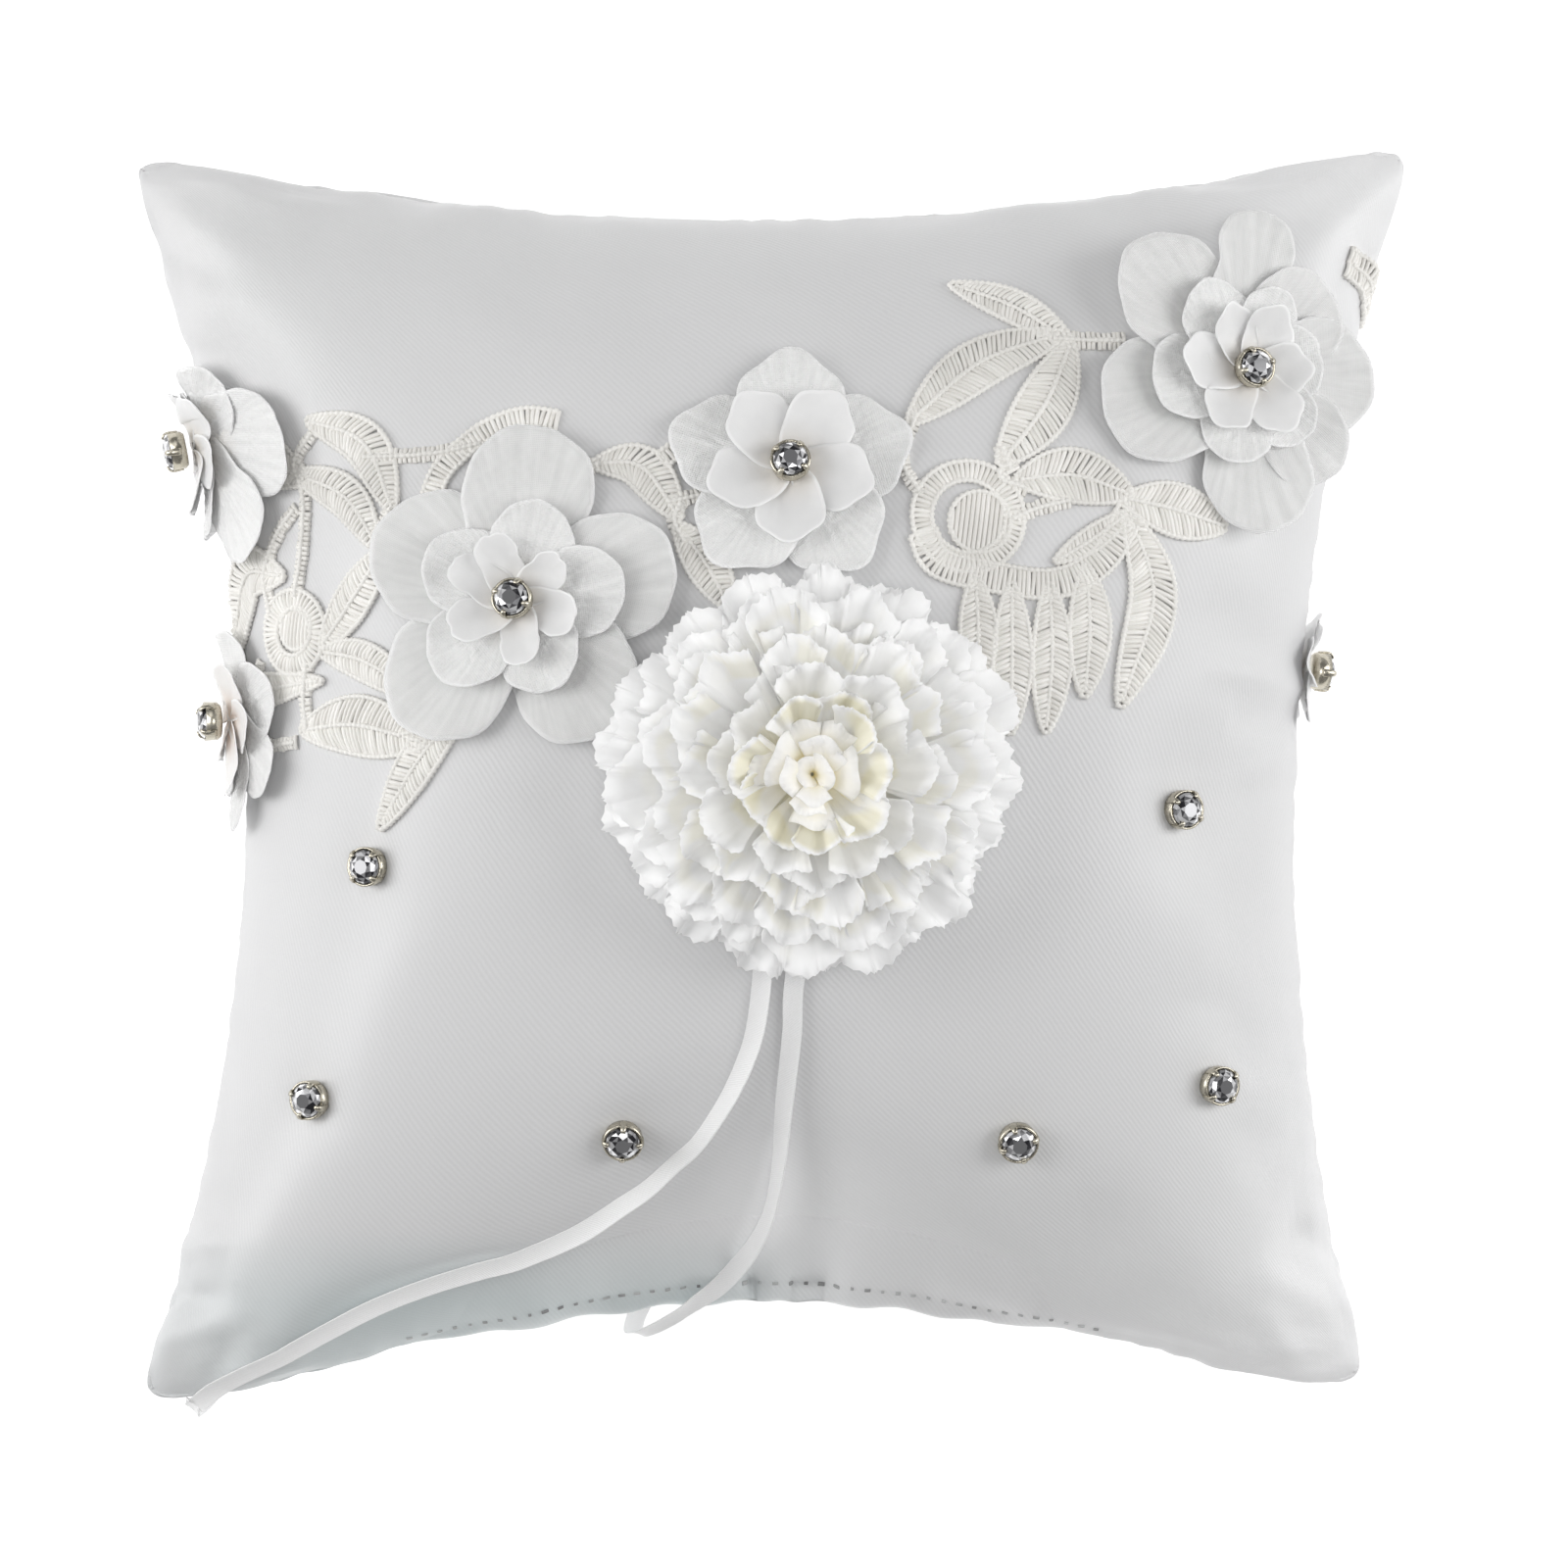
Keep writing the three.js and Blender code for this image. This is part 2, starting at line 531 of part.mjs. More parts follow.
function buildFlowers() {
  const { outer, middle, inner } = BIG_FLOWER;
  const big = (turn) => [
    { name: 'outer_petals', radius: outer, waist: 0.6, cup: 1, turn, finish: ORGANZA },
    { name: 'middle_petals', radius: middle, waist: 0.6, cup: 2, turn: turn + 0.6, finish: ORGANZA },
    { name: 'inner_petals', radius: inner, waist: 0.5, cup: 3.5, turn, finish: PETAL_SATIN },
  ];
  const small = (size, turn) => [
    { name: 'outer_petals', radius: size.outer, waist: 0.55, cup: 0.8, turn, finish: ORGANZA },
    { name: 'inner_petals', radius: size.inner, waist: 0.5, cup: 3, turn: turn + 0.5, finish: PETAL_SATIN },
  ];
  const single = (size, turn) => [
    { name: 'petals', radius: size.outer, waist: 0.5, cup: 1.5, turn, finish: PETAL_SATIN },
  ];
  const middleFlower = small(SMALL_FLOWER, 0.3);
  const sideUpper = small(SIDE_UPPER_FLOWER, 0.2);
  const sideLower = small(SIDE_LOWER_FLOWER, 0.9);
  const sideRight = single(SIDE_RIGHT_FLOWER, 0.4);
  addFlower('flower_left', faceParameters(-37.4, 25.7), big(1.4), FLOWER_LIFT, SEAT_ON_CLOTH);
  addFlower('flower_right', faceParameters(71.4, 61.4), big(1.3), RIGHT_FLOWER_LIFT, SEAT_ON_CLOTH);
  addFlower('flower_middle', faceParameters(2.9, 45.8), middleFlower, FLOWER_LIFT, SEAT_ON_LACE);
  addFlower('flower_side_upper', [-0.97, 0.36], sideUpper, SIDE_FLOWER_LIFT, SEAT_ON_LACE);
  addFlower('flower_side_lower', [-0.93, 0.06], sideLower, SIDE_FLOWER_LIFT, SEAT_ON_LACE);
  addFlower('flower_side_right', [1.06, 0.1], sideRight, SIDE_FLOWER_LIFT, SEAT_ON_CLOTH);
}

function buildScatteredRhinestones() {
  const stations = [
    [-61.4, -14], [-70.6, -49.9], [-22.5, -55.1],
    [37.4, -55.2], [67.9, -47.5], [62.7, -5.3],
  ];
  stations.forEach(([x, y], index) => {
    addRhinestone(standOn(faceParameters(x, y)), `rhinestone_${index + 1}`, LOOSE_CUP_SEAT);
  });
}

// ---------------------------------------------------------------- carnation

const CARNATION_AT = [5.8, 0.1];

// Stacked frilled layers: each is smaller and stands up more steeply than the one below it.
function buildCarnation() {
  const stand = standOn(faceParameters(...CARNATION_AT));
  const backing = lathe([
    [0, CARNATION_LIFT - GAP - BACKING_THICKNESS],
    [BACKING_RADIUS, CARNATION_LIFT - GAP - BACKING_THICKNESS],
    [BACKING_RADIUS, CARNATION_LIFT - GAP],
    [0, CARNATION_LIFT - GAP],
  ], 24);
  addPiece(stand, 'carnation_backing', backing, SILK);
  const last = CARNATION_LAYERS - 1;
  for (let i = 0; i <= last; i += 1) {
    const share = i / last;
    const lift = CARNATION_LIFT + i * (PETAL + GAP);
    const rise = CARNATION_RISE.first + (1 - CARNATION_RISE.first) * share ** CARNATION_RISE.power;
    const tip = CARNATION_HEIGHT * rise;
    const narrowing = CARNATION_NARROWING.share * share ** CARNATION_NARROWING.power;
    const layer = petalLayer({
      petals: CARNATION_LOBES,
      radius: CARNATION_RADIUS * (1 - narrowing),
      waist: 0.86,
      lift,
      cup: tip - lift,
      cupPower: 1.6,
      turn: i * CARNATION_TWIST,
    });
    addPiece(stand, `carnation_layer_${i + 1}`, layer, SILK);
  }
  const foot = CARNATION_LIFT + CARNATION_LAYERS * (PETAL + GAP) + CENTRE_GAP;
  const centre = lathe([
    [0, foot],
    ...CENTRE_PROFILE.map(([radius, height]) => [radius, foot + height]),
    [CENTRE_TOP.radius, CARNATION_HEIGHT + CENTRE_TOP.shoulder],
    [0, CARNATION_HEIGHT + CENTRE_TOP.dome],
  ], 16);
  addPiece(stand, 'carnation_centre', centre, CREAM);
}

// ---------------------------------------------------------------- ribbon

// The fold of the one ribbon, caught by the stitch that holds the carnation.
function buildRibbonFold() {
  const stand = standOn(faceParameters(...CARNATION_AT));
  const fold = plate(2, 1, (a, b, side) => new THREE.Vector3(
    (a * FOLD_LENGTH) / 2,
    (b * RIBBON_WIDTH) / 2,
    RIBBON_LIFT + side * RIBBON_THICKNESS,
  ));
  addPiece(stand, 'ribbon_fold', fold, SATIN);
}

// Each tail's middle line from the fold, down the face, over the bottom edge and under the cushion.
const LEFT_TAIL = [
  [2.8, -2.6, 70.7], [1.6, -8, 70.6], [0.2, -16.1, 70], [-0.8, -25.1, 68.8], [-1.6, -33, 67.3],
  [-2.7, -39.4, 65.7], [-5, -45.5, 63.8], [-7.8, -50.8, 61.7], [-11.4, -56.3, 59.2], [-15.1, -60, 57.2],
  [-19.1, -63.7, 55.1], [-24.3, -67.1, 53.3], [-30, -70.6, 51.4], [-38.7, -74.7, 49.4], [-45.2, -76.5, 48.8],
  [-53.1, -79, 47.4], [-61, -82.2, 45.5], [-68.9, -86.4, 42.7], [-74.9, -89.8, 40.5], [-80.9, -92.8, 38.4],
  [-86.2, -95.6, 36.2], [-88.9, -97.7, 34.4], [-90.6, -99.3, 31.8], [-91.2, -100.1, 27.5], [-91.1, -100.3, 21],
  [-90.4, -99.7, 14], [-89.2, -98.2, 7.5], [-87.2, -95.6, 3], [-84, -92.6, 1.3], [-81.1, -91, 1.1],
];
const RIGHT_TAIL = [
  [8.8, -2.6, 70.5], [7.6, -9, 70.3], [5.6, -18.1, 69.6], [4.2, -26.1, 68.5], [3.3, -33, 67.2],
  [3.2, -38.2, 65.9], [2.6, -44.3, 64], [2, -50.4, 61.7], [1.6, -56.8, 58.6], [0.8, -63.1, 54.7],
  [-0.4, -68.3, 50.5], [-2.7, -73.1, 45.5], [-5.8, -77.3, 39.4], [-8.6, -80.2, 36.7], [-11.8, -82.5, 35],
  [-15.4, -85, 33.9], [-18.6, -86.9, 31.4], [-20.8, -88, 27.5], [-21.9, -88.4, 21], [-22, -87.8, 14],
  [-21.4, -86.2, 7.5], [-19.6, -83.4, 3], [-16, -80.6, 1.3], [-9, -78.8, 1.1], [-1, -78.4, 1.1],
  [7, -79.2, 1.1], [14, -80.4, 1.1], [21, -81.4, 1.1], [28, -82, 1.1], [36, -82.6, 1.1],
];

function ribbonTail(points) {
  const route = new THREE.CatmullRomCurve3(points.map((point) => new THREE.Vector3(...point)));
  route.arcLengthDivisions = 400;
  const cells = 44;
  return plate(cells, 1, (a, b, side) => {
    const share = (a + 1) / 2;
    const here = route.getPointAt(share);
    const facing = new THREE.Vector3(
      here.x / FACE_WIDTH ** 2,
      here.y / FACE_HEIGHT ** 2,
      (here.z - SEAM_HEIGHT) / (2 * FRONT_CROWN) ** 2,
    ).normalize();
    const sideways = facing.clone().cross(route.getTangentAt(share)).normalize();
    return here
      .addScaledVector(sideways, (b * RIBBON_WIDTH) / 2)
      .addScaledVector(facing, (side - 0.5) * RIBBON_THICKNESS);
  });
}

function buildRibbon() {
  buildRibbonFold();
  addPiece(pillow, 'ribbon_tail_left', ribbonTail(LEFT_TAIL), SATIN);
  addPiece(pillow, 'ribbon_tail_right', ribbonTail(RIGHT_TAIL), SATIN);
}

buildCushion();
buildHem();
buildLace();
buildFlowers();
buildScatteredRhinestones();
buildCarnation();
buildRibbon();

export default pillow;
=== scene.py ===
"""Looks of the ring bearer pillow: satin cushion, corded lace, organza flowers, rhinestones, carnation
and ribbon. Shapes are worked out in millimetres, in the frame's axes, and become metres in make_mesh.
The cushion lies on its back: X across the face, Y towards its top edge, Z out of the face."""

import json
import math

import bmesh
import bpy
import numpy as np
from mathutils import Matrix, Vector
from mathutils.bvhtree import BVHTree

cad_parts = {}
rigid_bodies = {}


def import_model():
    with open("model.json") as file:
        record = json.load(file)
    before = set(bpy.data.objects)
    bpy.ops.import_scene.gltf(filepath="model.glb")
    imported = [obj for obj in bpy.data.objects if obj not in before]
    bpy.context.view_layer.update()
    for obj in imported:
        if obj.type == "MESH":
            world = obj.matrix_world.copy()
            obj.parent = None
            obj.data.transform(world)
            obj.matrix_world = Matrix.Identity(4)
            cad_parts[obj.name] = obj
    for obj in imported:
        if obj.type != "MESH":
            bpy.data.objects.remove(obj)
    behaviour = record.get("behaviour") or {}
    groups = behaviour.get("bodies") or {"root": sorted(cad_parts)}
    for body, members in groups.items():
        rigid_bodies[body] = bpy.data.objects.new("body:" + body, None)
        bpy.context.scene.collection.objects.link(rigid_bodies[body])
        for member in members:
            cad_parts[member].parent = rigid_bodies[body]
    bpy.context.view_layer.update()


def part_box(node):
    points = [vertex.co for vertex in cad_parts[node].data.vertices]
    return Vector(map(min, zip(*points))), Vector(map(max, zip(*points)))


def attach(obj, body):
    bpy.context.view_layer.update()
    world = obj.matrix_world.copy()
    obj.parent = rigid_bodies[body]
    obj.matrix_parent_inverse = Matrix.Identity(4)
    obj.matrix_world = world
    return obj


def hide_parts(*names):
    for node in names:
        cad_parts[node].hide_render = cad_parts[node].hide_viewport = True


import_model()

MM = 0.001
TAU = 2 * math.pi

# ---- Cushion ----
FACE_WIDTH, FACE_HEIGHT = 202.0, 197.4
SEAM_HEIGHT = 32.0
CROWN = 38.0
CROWN_POWER = 1.05
CORNERS = {  # the face's corners before the sides pull in
    "top_left": (-100.9, 97.1),
    "top_right": (100.8, 98.7),
    "bottom_left": (-99.5, -98.3),
    "bottom_right": (93.7, -95.8),
}
PULL_LEFT, PULL_RIGHT, PULL_TOP, PULL_BOTTOM = 17.3, 14.5, 10.4, 15.6
PULL_POWER_SIDE, PULL_POWER_TOP, PULL_POWER_BOTTOM = 1.0, 1.15, 1.8
TIP_BLUNT, TIP_SHARPNESS = 0.02, 40
HEM_DEPTH, HEM_MIDDLE, HEM_REACH = 5.0, 0.03, 0.55
CLOTH_CELLS = 64  # simulated grid, each side of each panel
FINE_CELLS = 208  # finished grid
SWELL_LIMIT = 1.6  # how far the simulated cloth may leave the drawn form
UV_SCALE = 105  # millimetres of cloth to one step of the surface parameters

# ---- Places on the face ----
CARNATION_AT = (5.8, 0.1)
LOOSE_STONES = [(-61.4, -14), (-70.6, -49.9), (-22.5, -55.1), (37.4, -55.2), (67.9, -47.5), (62.7, -5.3)]

# ---- Camera ----
EYE = (2.0, -1.4, 932.0)
LENS = 131.6

# ---- Studio ----
ROOM_LIGHT, FLOOR_GLOW, FLOOR_REACH = 0.26, 0.86, 4.0
LAMPS = [  # name, place, aim and size in metres, power in watts
    ("left_softbox", (-0.62, 0.06, 0.36), (-0.03, 0.0, 0.04), (0.35, 0.7), 2.7),
    ("right_softbox", (0.66, 0.10, 0.40), (0.03, 0.0, 0.04), (0.35, 0.7), 3.0),
    ("upper_left_fill", (-0.45, 0.55, 0.75), (0, 0, 0.05), (0.4, 0.4), 0.7),
    ("overhead_fill", (0.05, -0.05, 1.25), (0, 0, 0.05), (0.5, 0.5), 2.6),
]


# ---------------------------------------------------------------- camera, light and floor


def make_camera():
    camera = bpy.data.objects.new("camera", bpy.data.cameras.new("camera"))
    bpy.context.scene.collection.objects.link(camera)
    camera.location = Vector(EYE) * MM
    camera.data.lens = LENS
    camera.data.clip_start = 0.01
    bpy.context.scene.camera = camera


def area_light(name, place, aim, size, power):
    lamp = bpy.data.lights.new(name, "AREA")
    lamp.shape = "RECTANGLE"
    lamp.size, lamp.size_y = size
    lamp.energy = power
    obj = bpy.data.objects.new(name, lamp)
    bpy.context.scene.collection.objects.link(obj)
    obj.location = place
    obj.rotation_euler = (Vector(aim) - Vector(place)).to_track_quat("-Z", "Y").to_euler()


def make_studio():
    scene = bpy.context.scene
    scene.view_settings.view_transform = "Standard"
    world = bpy.data.worlds.new("studio")
    world.use_nodes = True
    world.node_tree.nodes["Background"].inputs["Color"].default_value = (1, 1, 1, 1)
    world.node_tree.nodes["Background"].inputs["Strength"].default_value = ROOM_LIGHT
    scene.world = world
    for lamp in LAMPS:
        area_light(*lamp)
    corners = [(-FLOOR_REACH, -FLOOR_REACH), (FLOOR_REACH, -FLOOR_REACH), (FLOOR_REACH, FLOOR_REACH)]
    corners.append((-FLOOR_REACH, FLOOR_REACH))
    floor = bpy.data.meshes.new("floor")
    floor.from_pydata([(*corner, 0) for corner in corners], [], [(0, 1, 2, 3)])
    table = bpy.data.objects.new("floor", floor)
    bpy.context.scene.collection.objects.link(table)
    paper = bpy.data.materials.new("white_paper")
    paper.use_nodes = True
    shader = paper.node_tree.nodes["Principled BSDF"]
    shader.inputs["Base Color"].default_value = (0.4, 0.4, 0.4, 1)
    shader.inputs["Roughness"].default_value = 1.0
    shader.inputs["Specular IOR Level"].default_value = 0.0
    shader.inputs["Emission Color"].default_value = (1, 1, 1, 1)
    shader.inputs["Emission Strength"].default_value = FLOOR_GLOW
    floor.materials.append(paper)


# ---------------------------------------------------------------- the cushion's drawn form


def lerp(a, b, share):
    return a + (b - a) * share


def lengths_along(line):
    """The distance from a line's first point to each of its points."""
    return np.concatenate([[0], np.cumsum(np.linalg.norm(np.diff(line, axis=0), axis=1))])


def hem_bump(u):
    share = (u - HEM_MIDDLE) / HEM_REACH
    return np.where(np.abs(share) < 1, (1 - share * share) ** 2, 0.0)


def face_point(u, v):
    """The seam-plane square's point (u, v) once its sides pull in."""
    across, up = (u + 1) / 2, (v + 1) / 2
    square = [
        lerp(
            lerp(CORNERS["bottom_left"][axis], CORNERS["bottom_right"][axis], across),
            lerp(CORNERS["top_left"][axis], CORNERS["top_right"][axis], across),
            up,
        )
        for axis in (0, 1)
    ]
    side_pull = u * lerp(PULL_LEFT, PULL_RIGHT, across) * np.maximum(0, 1 - v * v) ** PULL_POWER_SIDE
    power = lerp(PULL_POWER_BOTTOM, PULL_POWER_TOP, up)
    end_pull = v * lerp(PULL_BOTTOM, PULL_TOP, up) * np.maximum(0, 1 - u * u) ** power
    hem_pull = HEM_DEPTH * hem_bump(u) * (1 - up) ** 4
    blunt = 1 - TIP_BLUNT * (np.abs(u) * np.abs(v)) ** TIP_SHARPNESS
    return (square[0] - side_pull) * blunt, (square[1] - end_pull + hem_pull) * blunt


def drawn_point(s, t):
    """The drawn cushion: s and t run from -1 to 1 over the face and past 1 round onto the back."""
    s, t = np.asarray(s, float), np.asarray(t, float)
    x, y = face_point(np.sin(np.pi * s / 2), np.sin(np.pi * t / 2))
    turn = np.cos(np.pi * s / 2) * np.cos(np.pi * t / 2)
    crown = np.abs(turn) ** CROWN_POWER
    z = np.where(turn >= 0, SEAM_HEIGHT + CROWN * crown, np.maximum(0, SEAM_HEIGHT - CROWN * crown))
    return np.stack([x, y, z], axis=-1)


def drawn_normal(s, t):
    step = 1e-3
    along_s = drawn_point(s + step, t) - drawn_point(s - step, t)
    along_t = drawn_point(s, t + step) - drawn_point(s, t - step)
    normal = np.cross(along_s, along_t)
    return normal / np.maximum(np.linalg.norm(normal, axis=-1, keepdims=True), 1e-9)


def face_parameters(x, y):
    """The surface parameters under the face point (x, y), by Newton's method."""
    goal = np.array([x, y], float)
    place = goal / (FACE_WIDTH, FACE_HEIGHT)
    step = 1e-4
    for _ in range(30):
        error = drawn_point(*place)[:2] - goal
        slope_s = (drawn_point(place[0] + step, place[1])[:2] - goal - error) / step
        slope_t = (drawn_point(place[0], place[1] + step)[:2] - goal - error) / step
        change = np.linalg.solve(np.stack([slope_s, slope_t], axis=1), error)
        place = np.clip(place - np.clip(change, -0.1, 0.1), -0.99, 0.99)
    return place


class Stand:
    """A frame on the drawn surface: its Z leaves the cloth and its Y leans up the face."""

    def __init__(self, s, t):
        self.origin = drawn_point(s, t)
        self.normal = drawn_normal(s, t)
        up = np.array([0, 1, 0]) - self.normal * self.normal[1]
        self.up = up / np.linalg.norm(up)
        self.across = np.cross(self.up, self.normal)
        self.place = (s, t)

    def world(self, points):
        points = np.asarray(points, float)
        axes = np.stack([self.across, self.up, self.normal])
        return points @ axes + self.origin

    def drape(self, x, y):
        """The drawn cloth's points at those distances across and up, measured along the cloth."""
        s, t = self.place
        shares = np.linspace(-0.6, 0.6, 241)
        length = lengths_along(drawn_point(s + shares, t))
        step = 0.01
        rate = np.linalg.norm(drawn_point(s, t + step) - drawn_point(s, t - step)) / (2 * step)
        return drawn_point(s + np.interp(x, length - length[len(length) // 2], shares), t + y / rate)

    def fall(self, reach, slack=0.15):
        """How fast the cloth falls away from the frame's XY plane along its X and Y."""
        falls = []
        s, t = self.place
        for ds, dt in ((1, 0), (0, 1)):
            sides = []
            for way in (1, -1):
                share, leg = 0.002, np.zeros(3)
                while np.linalg.norm(leg) < reach and share < 0.5:
                    leg = drawn_point(s + way * ds * share, t + way * dt * share) - self.origin
                    share += 0.002
                drop = -leg @ self.normal
                sides.append(2 * drop / (leg @ leg - drop * drop))
            falls.append(min(sides) - slack * abs(min(sides)))
        return falls


# ---------------------------------------------------------------- mesh helpers


def make_mesh(name, points, faces, edges=(), smooth=True):
    mesh = bpy.data.meshes.new(name)
    mesh.from_pydata((np.asarray(points, float) * MM).tolist(), list(edges), [list(f) for f in faces])
    mesh.polygons.foreach_set("use_smooth", [smooth] * len(mesh.polygons))
    mesh.update()
    return mesh


def make_object(name, mesh):
    obj = bpy.data.objects.new(name, mesh)
    bpy.context.scene.collection.objects.link(obj)
    return obj


def set_values(mesh, name, values, kind="FLOAT"):
    layer = mesh.attributes.new(name, kind, "POINT")
    key = "vector" if kind == "FLOAT_VECTOR" else "value"
    layer.data.foreach_set(key, np.asarray(values, np.float32).ravel())


def set_uv(mesh, uv):
    """A UV map from one pair of numbers for each vertex."""
    layer = mesh.uv_layers.new(name="cloth")
    corners = np.zeros(len(mesh.loops), np.int32)
    mesh.loops.foreach_get("vertex_index", corners)
    layer.data.foreach_set("uv", np.asarray(uv, np.float32)[corners].ravel())


def finished(obj, thickness=0.0, levels=0):
    """The object's mesh with a wall and subdivision applied, in a fresh plain object."""
    if thickness:
        wall = obj.modifiers.new("wall", "SOLIDIFY")
        wall.thickness = thickness * MM
        wall.offset = 0
    if levels:
        smooth = obj.modifiers.new("smooth", "SUBSURF")
        smooth.levels = smooth.render_levels = levels
    mesh = bpy.data.meshes.new_from_object(obj.evaluated_get(bpy.context.evaluated_depsgraph_get()))
    old = obj.data
    obj.modifiers.clear()
    obj.data = mesh
    mesh.name = old.name
    bpy.data.meshes.remove(old)
    return obj


def merged(shapes):
    """The points and faces of several shapes as one; each shape starts with its points and its faces."""
    starts = np.cumsum([0] + [len(shape[0]) for shape in shapes])
    faces = [[i + start for i in face] for start, shape in zip(starts, shapes) for face in shape[1]]
    return np.concatenate([shape[0] for shape in shapes]), faces


def quads(index):
    """The four-cornered faces of a grid of point numbers."""
    return np.stack([index[:-1, :-1], index[1:, :-1], index[1:, 1:], index[:-1, 1:]], axis=-1).reshape(-1, 4)


def join_meshes(name, meshes):
    """One object holding several meshes that carry the same attributes and materials."""
    parts = [make_object(f"{name}_{i}", mesh) for i, mesh in enumerate(meshes)]
    chosen = {"active_object": parts[0], "object": parts[0]}
    with bpy.context.temp_override(**chosen, selected_editable_objects=parts, selected_objects=parts):
        bpy.ops.object.join()
    parts[0].name = parts[0].data.name = name
    return parts[0]


def add_piece(obj, body, slot, *replaced):
    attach(obj, body)
    if replaced:
        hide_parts(*replaced)
    return obj


# ---------------------------------------------------------------- node helpers


class Nodes:
    """Adds nodes to a tree and links them by socket name or number."""

    def __init__(self, tree):
        self.tree = tree

    def add(self, kind, inputs=None, **settings):
        node = self.tree.nodes.new(kind)
        for key, value in settings.items():
            setattr(node, key, value)
        for key, value in (inputs or {}).items():
            socket = node.inputs[key]
            if isinstance(value, bpy.types.NodeSocket):
                self.tree.links.new(value, socket)
            else:
                socket.default_value = value
        return node

    def math(self, operation, a, b=0.0, c=0.0):
        return self.add("ShaderNodeMath", {0: a, 1: b, 2: c}, operation=operation).outputs[0]

    def noise(self, place, scale, detail):
        keys = {"Vector": place, "Scale": scale, "Detail": detail}
        return self.add("ShaderNodeTexNoise", keys).outputs["Fac"]

    def object_place(self):
        return self.add("ShaderNodeTexCoord").outputs["Object"]

    def cloth_place(self):
        return self.add("ShaderNodeUVMap", uv_map="cloth").outputs[0]

    def paint(self, shader, socket, value):
        self.tree.links.new(value, shader.inputs[socket])

    def emboss(self, shader, height, strength, distance):
        """Bumps on the shader's surface, as deep as the distance in metres."""
        bump = self.add("ShaderNodeBump", {"Height": height, "Strength": strength, "Distance": distance})
        self.paint(shader, "Normal", bump.outputs[0])


def new_material(name):
    material = bpy.data.materials.new(name)
    material.use_nodes = True
    nodes = Nodes(material.node_tree)
    shader = material.node_tree.nodes["Principled BSDF"]
    return material, nodes, shader


def set_shader(shader, **values):
    for key, value in values.items():
        shader.inputs[key.replace("_", " ")].default_value = value


def mix_colour(nodes, share, low, high):
    node = nodes.add("ShaderNodeMix", data_type="RGBA")
    for index, value in ((0, share), (6, low), (7, high)):
        if isinstance(value, bpy.types.NodeSocket):
            nodes.tree.links.new(value, node.inputs[index])
        else:
            node.inputs[index].default_value = value
    return node.outputs[2]


def map_range(nodes, value, low, high, to_low=0.0, to_high=1.0):
    keys = {"Value": value, "From Min": low, "From Max": high, "To Min": to_low, "To Max": to_high}
    return nodes.add("ShaderNodeMapRange", keys).outputs["Result"]


def attribute(nodes, name):
    return nodes.add("ShaderNodeAttribute", attribute_name=name).outputs["Fac"]


# ---------------------------------------------------------------- finishes


def satin_finish(name, tone, roughness, pitch, relief):
    """Woven satin: a diagonal twill of the given pitch in millimetres along the piece's cloth UV map."""
    material, nodes, shader = new_material(name)
    set_shader(shader, Roughness=roughness, Sheen_Weight=0.35, Sheen_Roughness=0.35, Specular_IOR_Level=0.42)
    uv = nodes.cloth_place()
    split = nodes.add("ShaderNodeSeparateXYZ", {0: uv})
    wobble = nodes.noise(uv, 0.35, 3.0)
    along = nodes.math("ADD", split.outputs[0], nodes.math("MULTIPLY", split.outputs[1], 0.8))
    along = nodes.math("ADD", along, nodes.math("MULTIPLY", wobble, 0.5))
    twill = nodes.math("SINE", nodes.math("MULTIPLY", along, TAU / pitch))
    threads = nodes.noise(uv, 2.6, 4.0)
    height = nodes.math("ADD", nodes.math("MULTIPLY", twill, 0.5), nodes.math("MULTIPLY", threads, 1.2))
    nodes.emboss(shader, height, relief, 0.0001)
    patches = nodes.noise(uv, 0.03, 2.0)
    weave = nodes.math("ADD", nodes.math("MULTIPLY", twill, 0.3), nodes.math("MULTIPLY", threads, 0.9))
    shade = nodes.math("ADD", nodes.math("MULTIPLY", patches, 0.35), nodes.math("MULTIPLY", weave, 0.5))
    light = tuple(tone) + (1,)
    dark = tuple(0.9 * c for c in tone) + (1,)
    colour = mix_colour(nodes, map_range(nodes, shade, 0.1, 0.75), dark, light)
    # painted light: the satin is whitened where it looked lighter under the lamps
    colour = mix_colour(nodes, attribute(nodes, "stretched"), colour, (0.97, 0.97, 0.975, 1))
    # painted reflection: a teal cast low on the left, mixed into the satin's colour
    teal_reflection = mix_colour(nodes, attribute(nodes, "hem_tint"), colour, (0.52, 0.62, 0.625, 1))
    nodes.paint(shader, "Base Color", teal_reflection)
    return material


# ---------------------------------------------------------------- cushion


def panel_grids(cells):
    """Parameters of the front and back grids; the back's run past 1 in s."""
    line = np.linspace(-1, 1, cells + 1)
    s, t = np.meshgrid(line, line, indexing="ij")
    behind = np.where(s >= 0, 2 - s, -2 - s)
    return s, t, behind


def closed_grid(cells, front, back):
    """Points and faces of two grids that share their border."""
    count = cells + 1
    index_front = np.arange(count * count).reshape(count, count)
    index_back = index_front.copy()
    inner = slice(1, cells)
    index_back[inner, inner] = count * count + np.arange((cells - 1) ** 2).reshape(cells - 1, cells - 1)
    points = np.concatenate([front.reshape(-1, 3), back[inner, inner].reshape(-1, 3)])
    faces = np.concatenate([quads(index_front), quads(index_back)[:, ::-1]])
    return points, faces, index_front, index_back


